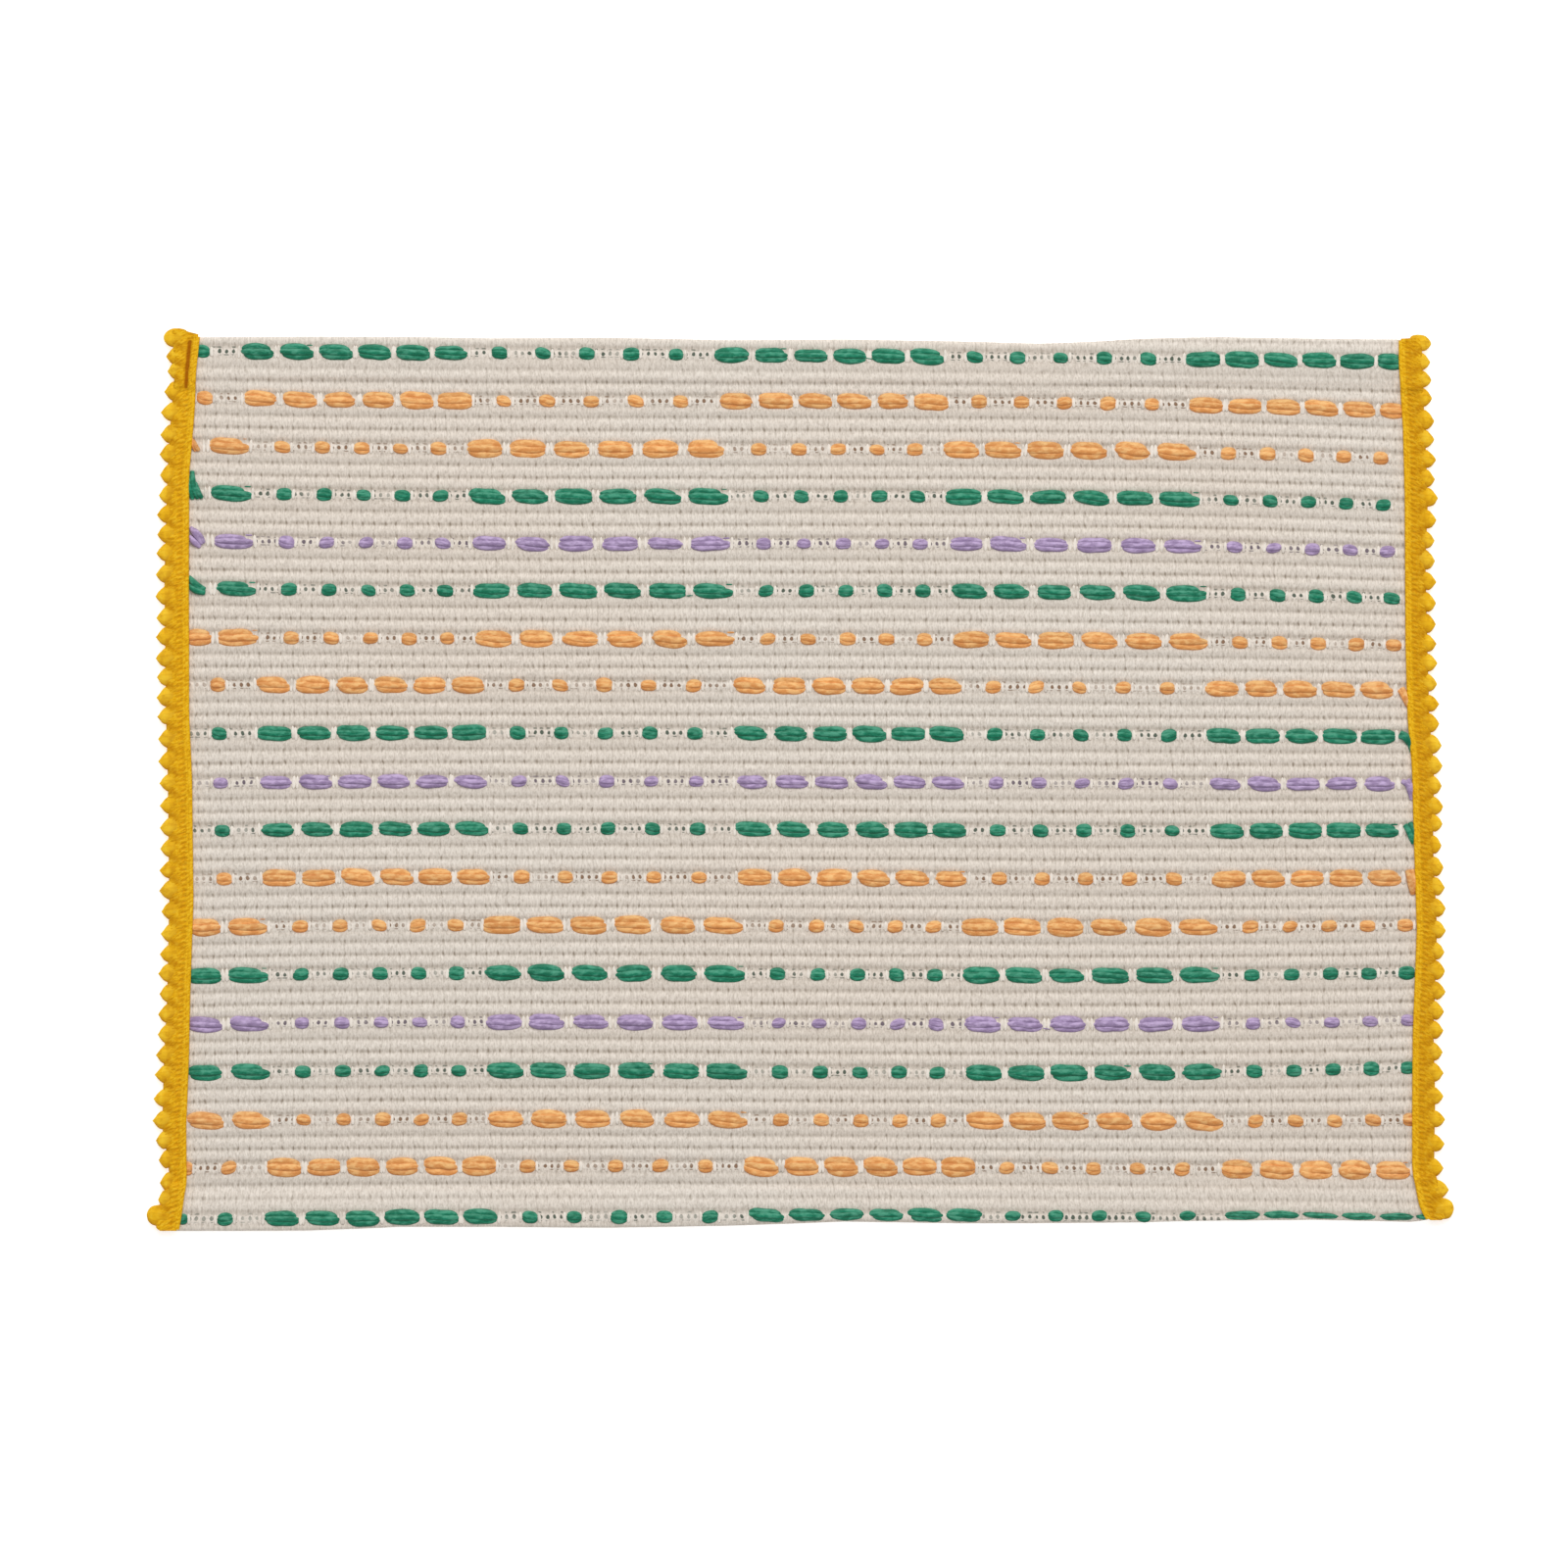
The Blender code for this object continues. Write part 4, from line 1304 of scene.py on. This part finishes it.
def bar_tree():
    """A small rounded bar on each point, turned and sized by its attributes."""
    tree, given = geometry_tree("bars", ("Segments", "Rings"))
    turned = {0: attribute(tree, "turned", "FLOAT_VECTOR")}
    values = {
        "Rotation": add(tree, "FunctionNodeEulerToRotation", None, turned),
        "Scale": attribute(tree, "size", "FLOAT_VECTOR"),
    }
    bars = repeated(given["Geometry"], ball(tree, given), **values)
    finish_tree(tree, bars, given["Material"])
    return tree


BAR_HALF_LENGTHS = {"dash": 2.7, "dot": 2.1}
BAR_HALF_WIDTH = (0.65, 0.85)
BAR_HALF_HEIGHT = (0.36, 0.44)


def make_binding(material, tree, rng):
    """The bundles of warp that hold down each float's two ends."""
    places, turned, sizes = [], [], []
    tips = [
        (row.y, one.kind, tip + way * BAR_OUT)
        for row in ROWS
        for one in floats_of(row)
        for tip, way in ((one.start, -1), (one.end, 1))
    ]
    for row_y, kind, on_loom in tips:
        x = on_loom + pushed(on_loom, row_y)
        if not braid_inner("left", row_y) - 1 < x < braid_inner("right", row_y) + 1:
            continue
        y = settled_y(row_y, x) + rng.normal(0, 0.15)
        if y < bottom_edge(x) + 2.5:
            continue
        places.append((x, y, groove_z(x, y) + 0.1))
        turned.append((0.0, 0.0, rng.normal(0, 0.06)))
        size = rng.uniform(*BAR_HALF_WIDTH), BAR_HALF_LENGTHS[kind], rng.uniform(*BAR_HALF_HEIGHT)
        sizes.append([one * MM for one in size])
    source = mesh_of("binding_places", places, turned=turned, size=sizes)
    return grown("binding_warp", source, tree, segments=8, rings=6, material=material)


# ---------------------------------------------------------------- braids

BEAT_PLACE = 6.0  # mm from the inner edge, where the tape's shading is level with its bobbles
BEAT_SLANT = 0.07
BOBBLE_LOBES = 3  # of yarn, round a bobble
BOBBLE_TWIST = 1.4
BOBBLE_GROOVE = 0.12  # between two lobes, as a share of the bobble's width
BOBBLE_SWELLS = (0.92, 1.04)
TIP_SPREAD = 0.15
REACH_SPREAD = 0.25


def slit_share(side, heights):
    """1 along the slit near the top of the left braid, 0 elsewhere."""
    if side == "right":
        return 0 * heights
    inside = np.minimum(SLIT.top - heights, heights - SLIT.bottom)
    return np.clip(inside / SLIT_FADE, 0.0, 1.0)


def beside_dimples(out, width):
    """1 at the column of dimples, falling to 0 beside it."""
    return np.exp(-(((out - DIMPLE_PLACE) / width) ** 2))


def tape_lines(side, heights, rng):
    """Lines down the tape: their points, how far out they are, and how open the slit is."""
    inner = read(BRAIDS[side], "inner", heights)
    from_end = np.minimum(heights[0] - heights, heights - heights[-1]) / END_ROUND
    width = braid_width(side, heights) - END_ROUND * np.clip(1 - from_end, 0, 1) ** 2
    slant = BRAID_ENDS[side].slant * np.exp(-(heights[0] - heights) / SLANT_FADE)
    slit = slit_share(side, heights)
    rough = rng.normal(0, TAPE_ROUGH, (len(TAPE_SECTION) + 2, len(heights)))
    rough = (rough[:-2] + rough[1:-1] + rough[2:]) / 3
    for point, relief in zip(TAPE_SECTION, rough):
        if point.from_inner is None:
            out = width - TAPE_SHORT + point.from_outer
        else:
            out = np.minimum(point.from_inner, width - TAPE_SHORT - TAPE_SHOULDER)
        on_face = point.z > 0.5
        loops = np.abs(np.cos(math.pi * (heights + out * LOOP_SLANT) / DIMPLE_PITCH))
        opened = slit * beside_dimples(out, SLIT_WIDTH) * on_face
        pit = beside_dimples(out, DIMPLE_WIDTH) * on_face
        dimple = DIMPLE_DEPTH * pit * (1 - loops**1.5) * (1 - slit)
        z = braid_seat(side, heights) + point.z - dimple - SLIT_DEPTH * opened + relief * on_face
        y = heights - slant * np.clip(1 - out / SLANT_WIDTH, 0, 1)
        yield np.stack([SIDES[side] * (inner + out), y, z], axis=1), out, opened


def make_tape(side, material, rng):
    """The braid's flat tape, with its column of dimples."""
    start, end = BRAIDS[side][0].y, BRAIDS[side][-1].y
    steps = round((start - end) / (DIMPLE_PITCH / 6))
    heights = np.linspace(start, end, steps + 1)
    points, outs, opened = zip(*tape_lines(side, heights, rng))
    around = len(points)
    faces = []
    for j in range(steps):
        here, below = j * around, (j + 1) * around
        for k in range(around):
            after = (k + 1) % around
            faces.append((here + k, here + after, below + after, below + k))
    faces.append(tuple(reversed(range(around))))
    faces.append(tuple(steps * around + k for k in range(around)))
    if side == "right":
        faces = [tuple(reversed(face)) for face in faces]
    numbers = read(TIPS[side], "number", heights)
    beats = [numbers + (out - BEAT_PLACE) * BEAT_SLANT for out in outs]
    columns = {"slit": np.stack(opened, axis=1).ravel(), "beat": np.stack(beats, axis=1).ravel()}
    mesh = mesh_of(f"{side}_tape", np.stack(points, axis=1).reshape(-1, 3), faces, **columns)
    unrolled = [np.stack([out, heights], axis=1) for out in outs]
    add_uv(mesh, "tape", np.stack(unrolled, axis=1).reshape(-1, 2))
    mesh.shade_smooth()
    mesh.materials.append(material)
    return placed(f"{side}_braid_tape", mesh)


def bobble_tree():
    """A plump drooping loop of yarn on each point, from the tape out to its tip."""
    sizes = ("Side", "Root", "Half width", "Half height", "Roughness")
    tree, given = geometry_tree("bobbles", ("Segments", "Rings"), sizes)
    shape = store(ball(tree, given), "local", position(tree), "FLOAT_VECTOR")
    bobbles = realized(repeated(given["Geometry"], shape))
    local = attribute(tree, "local", "FLOAT_VECTOR")
    across, lift, axis = local.parts()
    swell, point, width, droop, sag = attributes(tree, "swell point width droop sag")
    blunt = ((1.02 - abs(axis) ** 3.2) / (1.02 - axis * axis)) ** 0.5
    pointed = (1.02 - axis * axis) ** point
    outer = axis.smooth(-0.2, 0.35)
    to_root = (1 - axis) * 0.5
    turn = lift.angle_to(across) * BOBBLE_LOBES + axis * BOBBLE_TWIST
    groove = 1 - BOBBLE_GROOVE * (1 - abs(turn.sin())) ** 2
    plump = (blunt * (1 - outer) + pointed * outer) * swell * groove * (1 - to_root * 0.12)
    out = given["Root"] + (width - given["Root"]) * 0.5 * (axis + 1)
    y = droop * to_root**2.4 + given["Half width"] * across * plump
    sunk = sag * (1 - to_root) ** 2.0 - given["Half height"] * 0.7 * to_root
    z = sunk + given["Half height"] * lift * plump * (1 - 0.2 * to_root)
    bobbles = moved(bobbles, joined(given["Side"] * out, y, z) - local)
    lumps = (noise(position(tree), 420.0, 2.0) - 0.5) * given["Roughness"]
    bobbles = moved(bobbles, add(tree, "GeometryNodeInputNormal") * lumps)
    settings = {"data_type": "FLOAT", "operation": "GREATER_THAN"}
    mirrored = add(tree, "FunctionNodeCompare", settings, {0: given["Side"], 1: 0.0})
    values = {"Mesh": bobbles, "Selection": mirrored}
    finish_tree(tree, add(tree, "GeometryNodeFlipFaces", None, values), given["Material"])
    return tree


def make_bobbles(side, material, tree, rng):
    """The row of bobbles down a braid's outer edge, the first and the last one each its own."""
    count = TIPS[side][-1].number + 1
    tips = read(TIPS[side], "y", np.arange(count), "number")
    tips = tips + rng.normal(0, TIP_SPREAD, count)
    inner = read(BRAIDS[side], "inner", tips)
    root_z = braid_seat(side, tips) + BOBBLE_LIFT
    ends = BRAID_ENDS[side]
    source = mesh_of(
        f"{side}_bobble_places",
        np.stack([SIDES[side] * inner, tips, root_z], axis=1),
        droop=np.array([ends.first_droop, *[BOBBLE_DROOP] * (count - 2), ends.last_droop]) * MM,
        point=[ends.first_point, *[POINTED[side]] * (count - 2), 0.0],
        width=(braid_width(side, tips) + rng.normal(0, REACH_SPREAD, count)) * MM,
        swell=[ends.first_swell, *rng.uniform(*BOBBLE_SWELLS, count - 2), ends.last_swell],
        sag=(TIP_HEIGHT - root_z) * MM,
        tone=rng.uniform(0, 1, count),
    )
    return grown(
        f"{side}_braid_bobbles",
        source,
        tree,
        segments=30,
        rings=16,
        side=SIDES[side],
        root=BOBBLE_ROOT * MM,
        half_width=BOBBLE_HALF_WIDTH * MM,
        half_height=BOBBLE_HALF_HEIGHT * MM,
        roughness=BOBBLE_ROUGH * MM,
        material=material,
    )


def cord_tree():
    """A round cord along each line of a mesh, as thick as its attributes say."""
    tree, given = geometry_tree("cords", ("Sides",), ("Step",))
    line = add(tree, "GeometryNodeMeshToCurve", None, {"Mesh": given["Geometry"]})
    line = add(tree, "GeometryNodeCurveSplineType", {"spline_type": "CATMULL_ROM"}, {"Curve": line})
    values = {"Curve": line, "Length": given["Step"]}
    line = add(tree, "GeometryNodeResampleCurve", {"mode": "LENGTH"}, values)
    cords = tubes(line, given["Sides"], attribute(tree, "thick"))
    finish_tree(tree, cords, given["Material"])
    return tree


def make_cords(name, paths, material, tree, sides, step):
    """Cords along lists of points. Each path is its points and its radius."""
    places, edges, thick, tone = [], [], [], []
    for number, (points, radius) in enumerate(paths):
        edges += [(len(places) + k, len(places) + k + 1) for k in range(len(points) - 1)]
        places += points
        thick += list(np.broadcast_to(radius, len(points)) * MM)
        tone += [((number + 1) % 3) / 2] * len(points)
    source = mesh_of(name, places, edges=edges, thick=thick, tone=tone)
    return grown(name, source, tree, sides=sides, step=step * MM, material=material)


def edge_cord_path(side):
    """The cord along a braid's inner edge, from just inside the tape's slanted top."""
    start, end = BRAIDS[side][0].y, BRAIDS[side][-1].y
    start = start - CORD_SHORT - BRAID_ENDS[side].slant
    heights = np.linspace(start, end + CORD_SHORT, 80)
    x = SIDES[side] * (read(BRAIDS[side], "inner", heights) + CORD_ROUND)
    z = braid_seat(side, heights) + CORD_ROUND * 0.75
    return [tuple(point) for point in np.stack([x, heights, z], axis=1)]


def tail_path(tail):
    """A tail lies on the cloth beside the braid and ends in its row."""
    lifts = [TAIL_END_LIFT, TAIL_LIFT, TAIL_LIFT, TAIL_END_LIFT]
    return [(x, y, VALLEY_Z + RIB_HEIGHT + lift) for (x, y), lift in zip(tail.places, lifts)]


# ---------------------------------------------------------------- table, light and camera


def make_floor():
    """A pale table under the mat."""
    signs = ((-1, -1), (1, -1), (1, 1), (-1, 1))
    corners = [(x * FLOOR_HALF, y * FLOOR_HALF, 0) for x, y in signs]
    mesh = mesh_of("floor", corners, [(0, 1, 2, 3)])
    made, _, shader = new_material("pale_floor", 0.9)
    shader.inputs["Base Color"].default_value = (0.85, 0.85, 0.85, 1.0)
    shader.inputs["Emission Color"].default_value = (1.0, 1.0, 1.0, 1.0)
    shader.inputs["Emission Strength"].default_value = 0.5
    mesh.materials.append(made)
    return placed("floor", mesh)


def add_light(name, power, size, spot):
    """A square lamp that faces the middle of the mat. Its size and place are in metres."""
    data = bpy.data.lights.new(name, "AREA")
    data.energy = power
    data.size = size
    lamp = placed(name, data)
    lamp.location = spot
    lamp.rotation_euler = (Vector() - Vector(spot)).to_track_quat("-Z", "Y").to_euler()


def light_scene():
    world = bpy.data.worlds.new("studio")
    bpy.context.scene.world = world
    world.use_nodes = True
    backdrop = world.node_tree.nodes["Background"]
    backdrop.inputs["Color"].default_value = (1.0, 1.0, 1.0, 1.0)
    backdrop.inputs["Strength"].default_value = 0.4
    add_light("key", 52.0, 1.9, (0.2, 1.9, 2.6))
    add_light("overhead", 11.0, 1.6, (0.0, 0.0, 2.2))
    bpy.context.scene.view_settings.view_transform = "Standard"


def add_camera():
    """Straight above the mat, as the photograph was taken."""
    data = bpy.data.cameras.new("camera")
    data.sensor_width = 36.0
    data.lens = data.sensor_width * CAMERA_HEIGHT / PHOTO_WIDTH
    camera = placed("camera", data)
    camera.location = (PHOTO_MIDDLE[0] * MM, PHOTO_MIDDLE[1] * MM, CAMERA_HEIGHT * MM)
    bpy.context.scene.camera = camera


# ---------------------------------------------------------------- the whole mat


def main():
    rng = np.random.default_rng(SEED)
    strands, bars, cords, bobbles = strand_tree(), bar_tree(), cord_tree(), bobble_tree()
    yellow, yellow_bobble = braid_yarn(), bobble_yarn()
    warp = binding_warp()

    cloth = make_cloth(cotton_cloth())
    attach(cloth, "root")
    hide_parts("cloth")
    on_cloth = [make_binding(warp, bars, rng)]
    for name, yarn in YARNS.items():
        dyed = plied_yarn(f"{name}_yarn", yarn.color)
        tails = [(tail_path(tail), tail.radius * TAPER) for tail in TAILS if tail.yarn == name]
        floats = make_floats(name, dyed, strands, rng)
        ends = make_cords(f"{name}_tails", tails, dyed, cords, sides=8, step=0.8)
        for piece in (floats, ends):
            on_cloth.append(piece)
    for side in SIDES:
        tape = make_tape(side, yellow, rng)
        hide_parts(f"braid_{side}")
        knobs = make_bobbles(side, yellow_bobble, bobbles, rng)
        path = (edge_cord_path(side), CORD_ROUND)
        cord = make_cords(f"{side}_braid_cord", [path], yellow, cords, sides=10, step=1.0)
        for piece in (tape, knobs, cord):
            on_cloth.append(piece)
    for piece in on_cloth:
        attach(piece, "root")

    make_floor()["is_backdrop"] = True
    light_scene()
    add_camera()


main()
boxes = {"cad": cad_box, "visual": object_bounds()}
{key: [list(corner) for corner in box] for key, box in boxes.items()}
